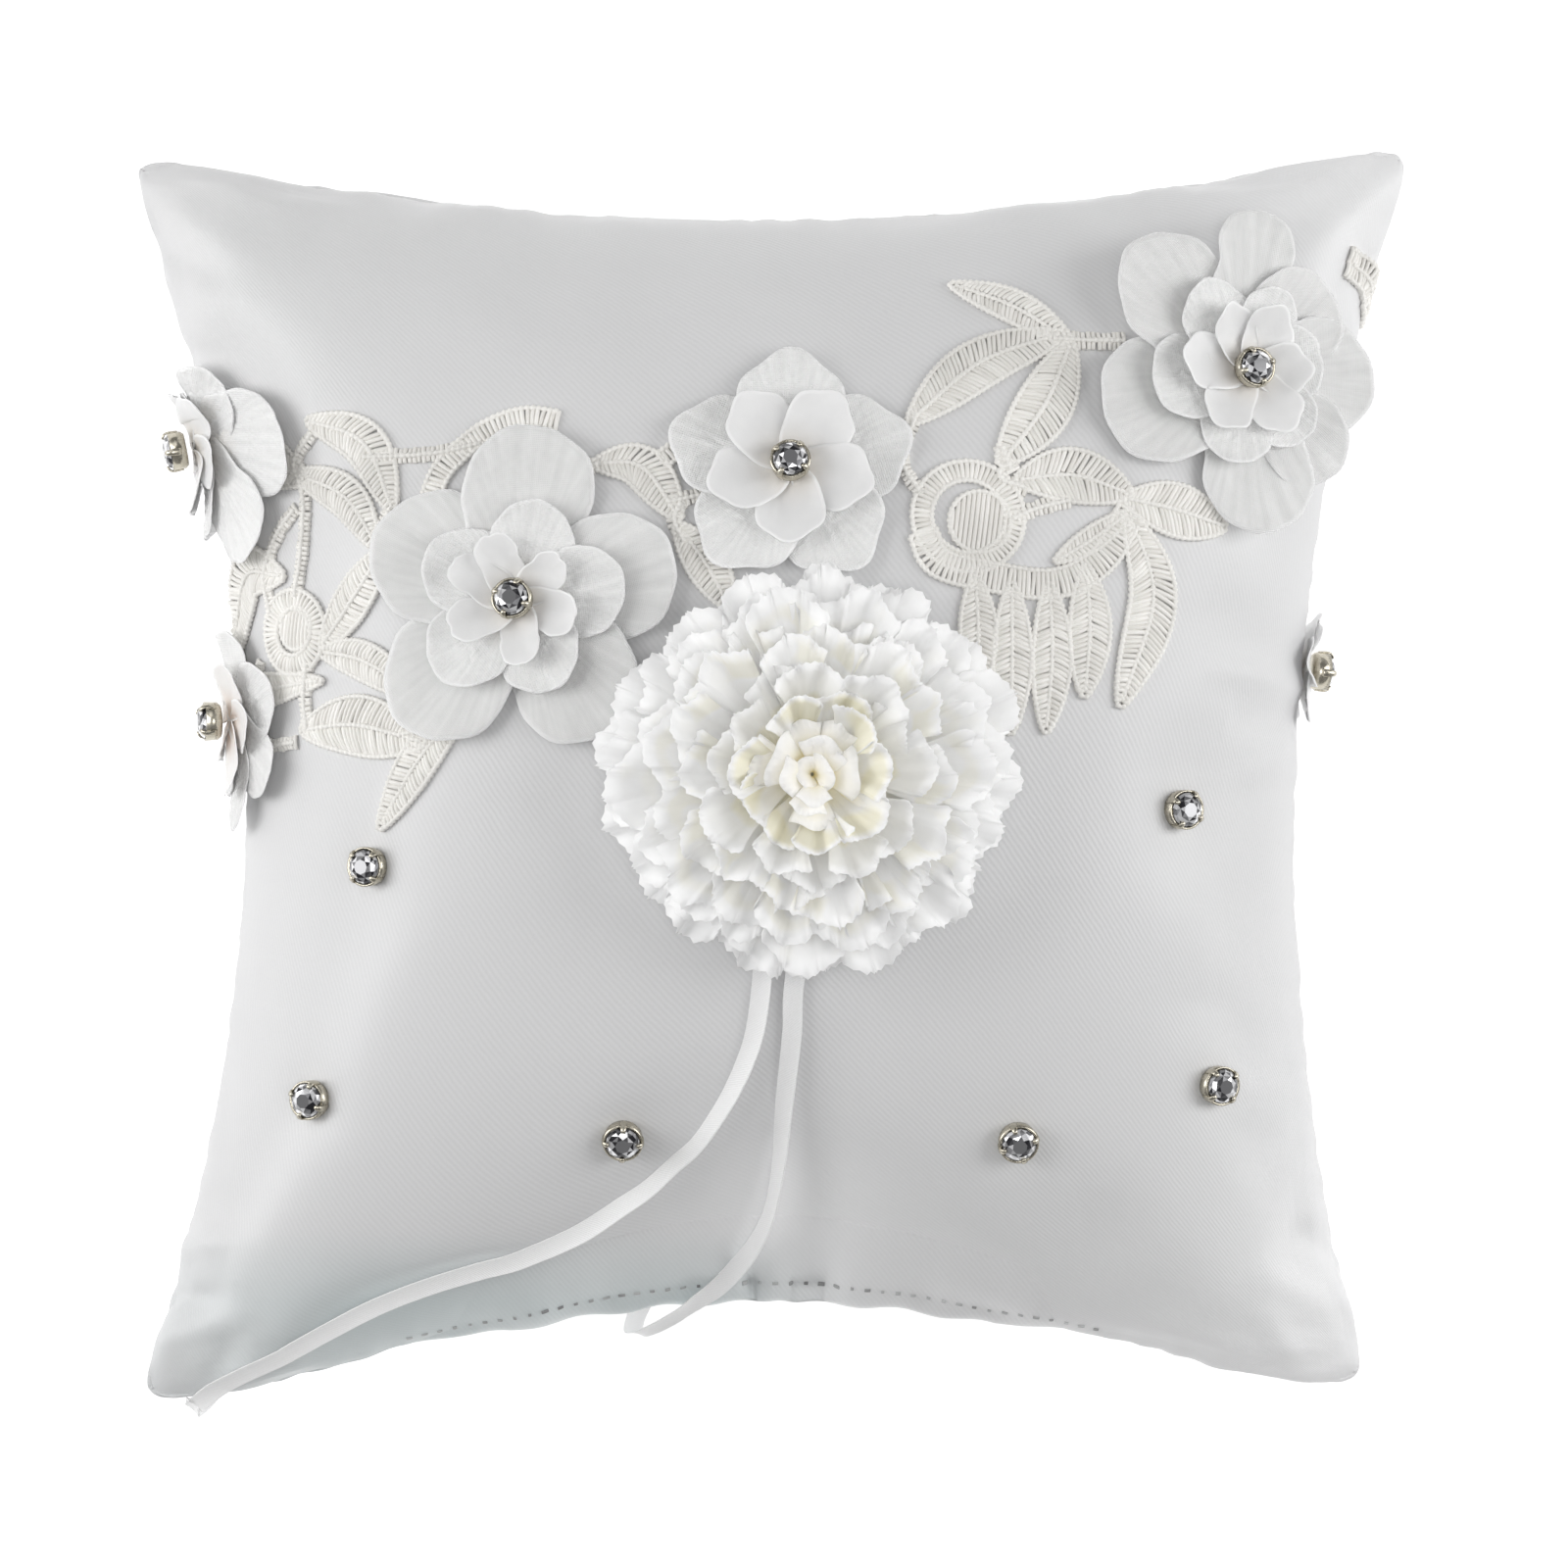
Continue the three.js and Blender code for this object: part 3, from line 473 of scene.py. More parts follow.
def simulate_cloth(cells):
    """How far blown-up cloth, pinned at its seam, leaves the drawn form: one grid for each panel."""
    s, t, behind = panel_grids(cells)
    points, faces, index_front, index_back = closed_grid(cells, drawn_point(s, t), drawn_point(behind, t))
    cloth = make_object("cloth", make_mesh("cloth", points, faces))
    pins = cloth.vertex_groups.new(name="seam")
    border = {int(i) for side in (index_front, index_front.T) for row in (side[0], side[-1]) for i in row}
    pins.add(sorted(border), 1.0, "REPLACE")
    modifier = cloth.modifiers.new("cloth", "CLOTH")
    settings = modifier.settings
    settings.quality = 6
    settings.mass = 0.15
    settings.tension_stiffness = settings.compression_stiffness = 12
    settings.shear_stiffness = 4
    settings.bending_stiffness = 0.12
    settings.vertex_group_mass = "seam"
    settings.use_pressure = True
    settings.uniform_pressure_force = 3.0
    settings.shrink_min = -0.035
    settings.effector_weights.gravity = 0
    modifier.collision_settings.use_collision = False
    scene = bpy.context.scene
    for step in range(1, 21):
        scene.frame_set(step)
    result = cloth.evaluated_get(bpy.context.evaluated_depsgraph_get())
    moved = np.zeros(len(points) * 3)
    result.data.vertices.foreach_get("co", moved)
    shift = moved.reshape(-1, 3) / MM - points
    scene.frame_set(1)
    bpy.data.objects.remove(cloth)
    return shift[index_front], shift[index_back]


def blurred(grid, rounds):
    """The grid averaged with its neighbours, its border held."""
    for _ in range(rounds):
        middle = grid[1:-1, 1:-1]
        ring = grid[:-2, 1:-1] + grid[2:, 1:-1] + grid[1:-1, :-2] + grid[1:-1, 2:]
        grid = grid.copy()
        grid[1:-1, 1:-1] = 0.4 * middle + 0.15 * ring
    return grid


def refined(grid, cells):
    """A coarse grid of vectors read between its points at a finer grid's."""
    coarse = np.linspace(0, 1, grid.shape[0])
    fine = np.linspace(0, 1, cells + 1)
    for axis in (1, 0):
        grid = np.apply_along_axis(lambda line: np.interp(fine, coarse, line), axis, grid)
    return grid


def ridge(x, y, start, end, width):
    """A soft line between two face points: 1 along its middle, fading to its ends and sides."""
    start, end = np.array(start, float), np.array(end, float)
    leg = end - start
    share = ((x - start[0]) * leg[0] + (y - start[1]) * leg[1]) / (leg @ leg)
    off = np.hypot(x - start[0] - share * leg[0], y - start[1] - share * leg[1])
    inside = np.clip(share, 0, 1)
    return np.exp(-((off / width) ** 2)) * np.sin(np.pi * inside) ** 0.8


# Soft folds of the face: start, end, half width and height, in millimetres.
FACE_FOLDS = [
    ((6, -30), (3, -88), 7.0, -1.5),
    ((15, -38), (13, -80), 5.0, 0.5),
    ((-99, -76), (-80, -71), 2.6, 0.8),
    ((-99, -83), (-84, -80), 1.8, -0.8),
    ((-98, -90), (-80, -83), 2.2, 0.9),
    ((-90, -99), (-82, -86), 2.4, -0.7),
    ((92, -86), (74, -76), 3.0, 0.9),
    ((93, -77), (80, -70), 2.4, -0.8),
    ((84, -96), (76, -82), 2.6, 0.6),
    ((86, 13), (66, 17), 2.2, 0.9),
    ((86, 8), (70, 9), 2.6, -0.8),
    ((86, 3), (72, 0), 2.0, 0.5),
    ((-98, 92), (-78, 78), 3.0, 0.7),
    ((-98, 84), (-84, 76), 2.6, -0.6),
    ((98, 93), (80, 80), 3.0, 0.7),
    ((94, 84), (86, 74), 2.4, -0.6),
    ((-60, 92), (-56, 78), 4.0, -0.4),
    ((-20, 88), (-19, 74), 4.5, -0.4),
    ((40, 88), (42, 74), 4.5, -0.4),
]


# Places of painted light, where the satin looked lighter under the lamps: x, y, radius and share.
PAINTED_LIGHT_PLACES = [(98, 96, 30, 0.5), (90, -94, 32, 0.6), (2, -70, 16, 0.65), (-98, 94, 22, 0.15)]


def cloth_details(x, y, s, t, seed):
    """Height of the seam's dip, its puckers and the hem's gathers over the drawn form."""
    from_seam = 60 * (1 - np.maximum(np.abs(s), np.abs(t)))
    dip = -0.75 * np.exp(-((from_seam / 1.1) ** 2))
    along = np.where(np.abs(s) > np.abs(t), y, x)
    wander = np.sin(along / 9.1 + seed) + 0.6 * np.sin(along / 5.3 + 2.1 * seed)
    puckers = 0.22 * np.exp(-from_seam / 5.5) * np.sin(along * TAU / 6.4 + 1.7 * wander)
    puckers *= 0.6 + 0.4 * wander
    at_hem = (t < -np.abs(s)) * hem_bump(np.sin(np.pi * s / 2) * 0.85)
    gathers = 0.55 * at_hem * np.exp(-from_seam / 9) * np.sin(x * TAU / 12.5 + 1.3 * np.sin(x / 8.0 + seed))
    return dip + puckers + gathers


def paint_light_on_cloth(mesh, points):
    """Painted light on the satin: a painted teal reflection low on the left, and painted light where it looks
    lighter.
    """
    x, y, z = points.T
    # painted teal reflection, strongest low on the left near the bottom seam
    low_left = np.exp(-(((x + 52) / 34) ** 2)) + 0.7 * np.exp(-(((x + 12) / 16) ** 2))
    teal_reflection = 0.55 * low_left * np.clip((-70 - y) / 12, 0, 1) * np.clip((z - 12) / 18, 0, 1)
    set_values(mesh, "hem_tint", np.clip(teal_reflection, 0, 0.6))
    # painted light, gathered from the places where the satin looked lighter
    stretched = np.zeros(len(points))
    for x0, y0, radius, amount in PAINTED_LIGHT_PLACES:
        stretched += amount * np.exp(-((x - x0) ** 2 + (y - y0) ** 2) / radius**2)
    set_values(mesh, "stretched", stretched)


def build_cushion(finish):
    s, t, behind = panel_grids(FINE_CELLS)
    front, back = drawn_point(s, t), drawn_point(behind, t)
    front_normal, back_normal = drawn_normal(s, t), drawn_normal(behind, t)
    for panel, shift in zip((front, back), simulate_cloth(CLOTH_CELLS)):
        wrinkles = shift - 0.75 * blurred(shift, 60)
        length = np.linalg.norm(wrinkles, axis=-1, keepdims=True)
        wrinkles *= np.tanh(length / SWELL_LIMIT) * SWELL_LIMIT / np.maximum(length, 1e-6)
        panel += refined(blurred(wrinkles, 2), FINE_CELLS)
    x, y = front[..., 0], front[..., 1]
    rise = cloth_details(x, y, s, t, 0.7)
    for start, end, width, height in FACE_FOLDS:
        rise += height * ridge(x, y, start, end, width)
    tuft = np.hypot(x - CARNATION_AT[0], y - CARNATION_AT[1])
    rise -= 1.2 * np.exp(-((tuft / 22) ** 2))
    for stone_x, stone_y in LOOSE_STONES:
        rise -= 0.45 * np.exp(-((np.hypot(x - stone_x, y - stone_y) / 5.0) ** 2))
    front += front_normal * rise[..., None]
    x, y = back[..., 0], back[..., 1]
    rise = cloth_details(x, y, s, t, 3.9)
    rise += 0.35 * np.sin(x / 13 + 1) * np.sin(y / 17) * (1 - np.maximum(np.abs(s), np.abs(t)))
    back += back_normal * rise[..., None]
    edge = (np.abs(s) == 1) | (np.abs(t) == 1)
    front[edge] = (front[edge] + back[edge]) / 2
    back[..., 2] = np.maximum(back[..., 2], 0)
    points, faces, _, _ = closed_grid(FINE_CELLS, front, back)
    mesh = make_mesh("cushion", points, faces)
    inner = slice(1, FINE_CELLS)
    front_uv, back_uv = np.stack([s, t], -1), np.stack([behind, t], -1)[inner, inner]
    set_uv(mesh, np.concatenate([front_uv.reshape(-1, 2), back_uv.reshape(-1, 2)]) * UV_SCALE)
    paint_light_on_cloth(mesh, points)
    mesh.materials.append(finish)
    cushion = make_object("cushion", mesh)
    add_piece(cushion, "pillow", "satin", "front_panel", "back_panel", "filling")
    return BVHTree.FromPolygons(points.tolist(), faces.tolist())


# ---------------------------------------------------------------- finishes of the trims


def thread_finish():
    """Shiny rayon embroidery thread, a little warmer in some stitches than in others."""
    material, nodes, shader = new_material("rayon_thread")
    set_shader(shader, Roughness=0.38, Sheen_Weight=0.3, Sheen_Roughness=0.4, Specular_IOR_Level=0.5)
    place = nodes.object_place()
    fibres = nodes.noise(place, 2600.0, 2.0)
    drift = nodes.noise(place, 55.0, 2.0)
    colour = mix_colour(nodes, attribute(nodes, "tone"), (0.72, 0.70, 0.655, 1), (0.95, 0.935, 0.90, 1))
    colour = mix_colour(nodes, map_range(nodes, drift, 0.3, 0.6), (0.74, 0.725, 0.69, 1), colour)
    nodes.paint(shader, "Base Color", colour)
    nodes.emboss(shader, fibres, 0.35, 0.0001)
    return material


def stitch_hole_shade_finish():
    """Topstitching painted dark grey: painted shade for the holes the thread sinks into."""
    material, nodes, shader = new_material("sunk_thread")
    set_shader(shader, Roughness=0.8)
    drift = map_range(nodes, nodes.noise(nodes.object_place(), 160.0, 2.0), 0.35, 0.65)
    colour = mix_colour(nodes, drift, (0.24, 0.24, 0.24, 1), (0.58, 0.59, 0.59, 1))
    nodes.paint(shader, "Base Color", colour)
    return material


def organza_finish(name, cover, weave, grain, pressed):
    """Sheer organza: see-through inside, with a sealed rim that catches the light."""
    material, nodes, shader = new_material(name)
    set_shader(shader, Roughness=0.42, Sheen_Weight=0.5, Sheen_Roughness=0.3, Specular_IOR_Level=0.45)
    uv = nodes.cloth_place()
    split = nodes.add("ShaderNodeSeparateXYZ", {0: uv})
    warp = nodes.math("SINE", nodes.math("MULTIPLY", split.outputs[0], TAU / weave))
    weft = nodes.math("SINE", nodes.math("MULTIPLY", split.outputs[1], TAU / weave))
    mesh = nodes.math("ADD", warp, weft)
    cloud = nodes.noise(uv, grain, 3.0)
    inward = nodes.math("MULTIPLY", attribute(nodes, "reach"), 0.12)
    fan = nodes.add("ShaderNodeCombineXYZ", {0: attribute(nodes, "fan"), 1: inward}).outputs[0]
    streaks = nodes.noise(fan, 12.0, 4.0)
    rim = map_range(nodes, attribute(nodes, "rim"), 0.93, 0.99)
    shade = nodes.math("ADD", nodes.math("MULTIPLY", cloud, 0.2), nodes.math("MULTIPLY", streaks, 0.8))
    shade = map_range(nodes, shade, 0.35, 0.65)
    colour = mix_colour(nodes, shade, (0.83, 0.83, 0.825, 1), (0.95, 0.95, 0.945, 1))
    colour = mix_colour(nodes, rim, colour, (0.99, 0.99, 0.99, 1))
    warmth = map_range(nodes, attribute(nodes, "reach"), 0.12, 0.5, 0.7, 0.0)
    colour = mix_colour(nodes, warmth, colour, (0.86, 0.81, 0.74, 1))
    nodes.paint(shader, "Base Color", colour)
    nodes.paint(shader, "Alpha", map_range(nodes, rim, 0.0, 1.0, cover, 1.0))
    height = nodes.math("ADD", nodes.math("MULTIPLY", mesh, 0.3), nodes.math("MULTIPLY", cloud, pressed))
    height = nodes.math("ADD", height, nodes.math("MULTIPLY", streaks, 3.5))
    nodes.emboss(shader, height, 0.55, 0.00012)
    return material


def petal_finish(name, light, shadow, root, roughness, painted_glow=0.0):
    """Pressed petal cloth with a fine grain and a tinted foot; its glow is painted light, an emission that lightens
    its shade in place of light coming through the thin cloth.
    """
    material, nodes, shader = new_material(name)
    set_shader(shader, Roughness=roughness, Sheen_Weight=0.25, Sheen_Roughness=0.4, Specular_IOR_Level=0.3)
    set_shader(shader, Subsurface_Weight=0.3, Subsurface_Scale=0.0012, Subsurface_Radius=(1, 1, 1))
    uv = nodes.cloth_place()
    grain = nodes.noise(uv, 2.2, 4.0)
    cloud = nodes.noise(uv, 0.3, 2.0)
    colour = mix_colour(nodes, cloud, shadow, light)
    tinted = map_range(nodes, attribute(nodes, "reach"), 0.1, 0.62, 1.0, 0.0)
    colour = mix_colour(nodes, nodes.math("POWER", tinted, 1.6), colour, root)
    blots = nodes.noise(uv, 0.16, 1.0)
    blots = nodes.math("MULTIPLY", map_range(nodes, blots, 0.52, 0.62), attribute(nodes, "cream"))
    colour = mix_colour(nodes, nodes.math("MULTIPLY", blots, 0.8), colour, root)
    rim = map_range(nodes, attribute(nodes, "rim"), 0.9, 1.0)
    colour = mix_colour(nodes, rim, colour, (0.99, 0.99, 0.99, 1))
    nodes.paint(shader, "Base Color", colour)
    # painted light: the petal glows in its own colour, lifting its shaded folds
    nodes.paint(shader, "Emission Color", colour)
    set_shader(shader, Emission_Strength=painted_glow)
    nodes.emboss(shader, grain, 0.3, 0.0001)
    return material


def cup_finish():
    """Plated stamped metal, brushed a little by handling."""
    material, nodes, shader = new_material("plated_cup")
    set_shader(shader, Metallic=1.0, Roughness=0.24)
    wear = nodes.noise(nodes.object_place(), 900.0, 3.0)
    colour = mix_colour(nodes, wear, (0.36, 0.33, 0.26, 1), (0.72, 0.68, 0.58, 1))
    nodes.paint(shader, "Base Color", colour)
    nodes.paint(shader, "Roughness", map_range(nodes, wear, 0.3, 0.7, 0.16, 0.34))
    return material


def crystal_finish():
    """Foil-backed cut glass; each facet's colour is a painted glint, bright or dark, in place of the reflections it
    catches.
    """
    material, nodes, shader = new_material("foiled_crystal")
    set_shader(shader, Metallic=0.55, Roughness=0.09, Coat_Weight=1.0, Coat_Roughness=0.03)
    glint = attribute(nodes, "glint")
    colour = mix_colour(nodes, nodes.math("POWER", glint, 1.8), (0.01, 0.01, 0.015, 1), (0.98, 0.98, 1.0, 1))
    nodes.paint(shader, "Base Color", colour)
    return material


def felt_finish():
    material, nodes, shader = new_material("felt")
    set_shader(shader, Roughness=0.95, Sheen_Weight=0.6)
    fuzz = nodes.noise(nodes.object_place(), 1800.0, 5.0)
    colour = mix_colour(nodes, fuzz, (0.74, 0.74, 0.72, 1), (0.92, 0.92, 0.9, 1))
    nodes.paint(shader, "Base Color", colour)
    nodes.emboss(shader, fuzz, 0.8, 0.0003)
    return material


# ---------------------------------------------------------------- geometry node trees


def new_node_tree(name, sockets):
    """A geometry tree with named inputs: socket name, socket kind and first value."""
    tree = bpy.data.node_groups.new(name, "GeometryNodeTree")
    tree.interface.new_socket("Geometry", in_out="INPUT", socket_type="NodeSocketGeometry")
    tree.interface.new_socket("Geometry", in_out="OUTPUT", socket_type="NodeSocketGeometry")
    for label, kind, value in sockets:
        socket = tree.interface.new_socket(label, in_out="INPUT", socket_type=f"NodeSocket{kind}")
        if value is not None:
            socket.default_value = value
    nodes = Nodes(tree)
    return tree, nodes, nodes.add("NodeGroupInput").outputs


def end_tree(tree, nodes, shape, material):
    real = nodes.add("GeometryNodeRealizeInstances", {0: shape}).outputs[0]
    smooth = nodes.add("GeometryNodeSetShadeSmooth", {"Geometry": real}).outputs[0]
    painted = nodes.add("GeometryNodeSetMaterial", {"Geometry": smooth, "Material": material}).outputs[0]
    nodes.add("NodeGroupOutput", {0: painted})
    return tree


def run_tree(obj, tree, **values):
    """Gives the object the tree's result as its plain mesh."""
    modifier = obj.modifiers.new("shape", "NODES")
    modifier.node_group = tree
    for item in tree.interface.items_tree:
        key = item.name.replace(" ", "_").lower()
        if item.item_type == "SOCKET" and item.in_out == "INPUT" and key in values:
            modifier[item.identifier] = values[key]
    return finished(obj)


def point_values(nodes, name, kind="FLOAT_VECTOR"):
    return nodes.add("GeometryNodeInputNamedAttribute", {"Name": name}, data_type=kind).outputs["Attribute"]


def stitch_tree():
    """An arched satin stitch on every point, laid along its turn and stretched by its size."""
    sockets = [("Width", "Float", 0.0007), ("Height", "Float", 0.0005), ("Arch", "Float", 0.0005)]
    tree, nodes, given = new_node_tree("satin_stitches", [*sockets, ("Finish", "Material", None)])
    lift = nodes.add("ShaderNodeCombineXYZ", {2: given["Arch"]}).outputs[0]
    arc = {"Resolution": 4, "Start": (-0.5, 0, 0), "Middle": lift, "End": (0.5, 0, 0)}
    line = nodes.add("GeometryNodeCurveQuadraticBezier", arc).outputs[0]
    ring = nodes.add("GeometryNodeCurvePrimitiveCircle", {"Resolution": 6, "Radius": 0.5}).outputs[0]
    flat = nodes.add("ShaderNodeCombineXYZ", {0: given["Width"], 1: given["Height"], 2: 1.0}).outputs[0]
    ring = nodes.add("GeometryNodeTransform", {"Geometry": ring, "Scale": flat}).outputs[0]
    shape = {"Curve": line, "Profile Curve": ring, "Fill Caps": True}
    stitch = nodes.add("GeometryNodeCurveToMesh", shape).outputs[0]
    turn = nodes.add("FunctionNodeEulerToRotation", {0: point_values(nodes, "turn")}).outputs[0]
    keys = {"Points": given["Geometry"], "Instance": stitch, "Rotation": turn}
    keys["Scale"] = point_values(nodes, "size")
    copies = nodes.add("GeometryNodeInstanceOnPoints", keys).outputs[0]
    return end_tree(tree, nodes, copies, given["Finish"])


def cord_tree():
    """A plied cord along every edge path, swelling and thinning with its twist."""
    sockets = [("Radius", "Float", 0.0003), ("Twist pitch", "Float", 0.0009), ("Twist depth", "Float", 0.3)]
    sockets += [("Step", "Float", 0.00025), ("Sides", "Int", 6), ("Finish", "Material", None)]
    tree, nodes, given = new_node_tree("plied_cord", sockets)
    line = nodes.add("GeometryNodeMeshToCurve", {"Mesh": given["Geometry"]}).outputs[0]
    steps = {"Curve": line, "Length": given["Step"]}
    line = nodes.add("GeometryNodeResampleCurve", steps, mode="LENGTH").outputs[0]
    along = nodes.add("GeometryNodeSplineParameter").outputs["Length"]
    phase = nodes.math("MULTIPLY", nodes.math("DIVIDE", along, given["Twist pitch"]), TAU)
    swell = nodes.math("MULTIPLY_ADD", nodes.math("SINE", phase), given["Twist depth"], 1.0)
    circle = {"Resolution": given["Sides"], "Radius": given["Radius"]}
    ring = nodes.add("GeometryNodeCurvePrimitiveCircle", circle).outputs[0]
    shape = {"Curve": line, "Profile Curve": ring, "Scale": swell, "Fill Caps": True}
    cord = nodes.add("GeometryNodeCurveToMesh", shape).outputs[0]
    return end_tree(tree, nodes, cord, given["Finish"])


def frill_tree():
    """A ring of petals picked from a collection, each turned, leaned and sized a little differently."""
    sockets = [("Petals", "Collection", None), ("Count", "Int", 16), ("Seed", "Int", 0)]
    sockets += [("Sway", "Float", 0.1), ("Lean", "Float", 0.06), ("Size spread", "Float", 0.06)]
    sockets.append(("Finish", "Material", None))
    tree, nodes, given = new_node_tree("frill_ring", sockets)
    points = nodes.add("GeometryNodePoints", {"Count": given["Count"]}).outputs[0]
    choice = nodes.add("GeometryNodeCollectionInfo", {0: given["Petals"], 1: True, 2: True}).outputs[0]

    def spread(amount, salt):
        low = nodes.math("MULTIPLY", amount, -1.0)
        seed = nodes.math("ADD", given["Seed"], float(salt))
        keys = {2: low, 3: amount, 8: seed}
        return nodes.add("FunctionNodeRandomValue", keys, data_type="FLOAT").outputs[1]

    index = nodes.add("GeometryNodeInputIndex").outputs[0]
    angle = nodes.math("MULTIPLY", nodes.math("DIVIDE", index, given["Count"]), TAU)
    angle = nodes.math("ADD", angle, spread(given["Sway"], 1))
    tip, roll = spread(given["Lean"], 2), spread(given["Lean"], 3)
    turn = nodes.add("ShaderNodeCombineXYZ", {0: roll, 1: tip, 2: angle}).outputs[0]
    turn = nodes.add("FunctionNodeEulerToRotation", {0: turn}).outputs[0]
    size = nodes.math("ADD", spread(given["Size spread"], 4), 1.0)
    keys = {"Points": points, "Instance": choice, "Pick Instance": True, "Instance Index": index}
    copies = nodes.add("GeometryNodeInstanceOnPoints", {**keys, "Rotation": turn, "Scale": size}).outputs[0]
    return end_tree(tree, nodes, copies, given["Finish"])


def point_object(name, points, axes_x, axes_z, sizes, tones=None):
    """Loose points that carry the turn and size of what is placed on them."""
    mesh = make_mesh(name, points, [])
    turns = []
    for along, normal in zip(axes_x, axes_z):
        across = np.cross(normal, along)
        turns.append(Matrix((along, across, np.cross(along, across))).transposed().to_euler())
    set_values(mesh, "turn", [tuple(turn) for turn in turns], "FLOAT_VECTOR")
    set_values(mesh, "size", sizes, "FLOAT_VECTOR")
    set_values(mesh, "tone", np.ones(len(points)) if tones is None else tones)
    return make_object(name, mesh)


# ---------------------------------------------------------------- paths on the cloth


def unit(vectors):
    return vectors / np.linalg.norm(vectors, axis=-1, keepdims=True)


def smooth_line(stations, count):
    """A Catmull-Rom line through the stations, read at equal steps of length."""
    stations = np.asarray(stations, float)
    padded = np.concatenate([[2 * stations[0] - stations[1]], stations, [2 * stations[-1] - stations[-2]]])
    spans = []
    for a, b, c, d in zip(padded, padded[1:], padded[2:], padded[3:]):
        t = np.linspace(0, 1, 24, endpoint=False)[:, None]
        bend = (2 * a - 5 * b + 4 * c - d) * t**2 + (3 * b - a - 3 * c + d) * t**3
        spans.append(0.5 * (2 * b + (c - a) * t + bend))
    return at_equal_steps(np.concatenate([*spans, stations[-1:]]), count)


def at_equal_steps(line, count):
    length = lengths_along(line)
    wanted = np.linspace(0, length[-1], count)
    return np.stack([np.interp(wanted, length, line[:, k]) for k in range(line.shape[1])], axis=1)


def line_length(line):
    return float(np.linalg.norm(np.diff(line, axis=0), axis=1).sum())


class Cloth:
    """The finished cushion, asked for places on it."""

    def __init__(self, tree):
        self.tree = tree

    def under(self, x, y):
        return np.array(self.tree.ray_cast((x, y, 200), (0, 0, -1))[0])

    def settle(self, points, lift):
        """The points moved to that height above the nearest cloth, and the cloth's normals there."""
        found = [self.tree.find_nearest(tuple(point)) for point in points]
        normals = np.array([normal for _, normal, _, _ in found])
        return np.array([place for place, _, _, _ in found]) + normals * lift, normals


def tangents(line, closed=False):
    if closed:
        return unit(np.roll(line, -1, axis=0) - np.roll(line, 1, axis=0))
    return unit(np.gradient(line, axis=0))


# ---------------------------------------------------------------- lace

STITCH_PITCH = 0.74
STITCH_LIFT = 0.3
CORD_LIFT, STEM_LIFT = 0.5, 0.78
SUNK_VEIN, RAISED_VEIN = 0.4, 0.62  # lift of a leaf's middle cord, in an open and in a closed leaf
LACE_STITCH = {"width": 0.00078, "height": 0.00072, "arch": 0.0006}  # in metres, as the trees take them
LACE_CORD = 0.00042
LEAF_TIP, LEAF_FULLNESS = 0.12, 0.8


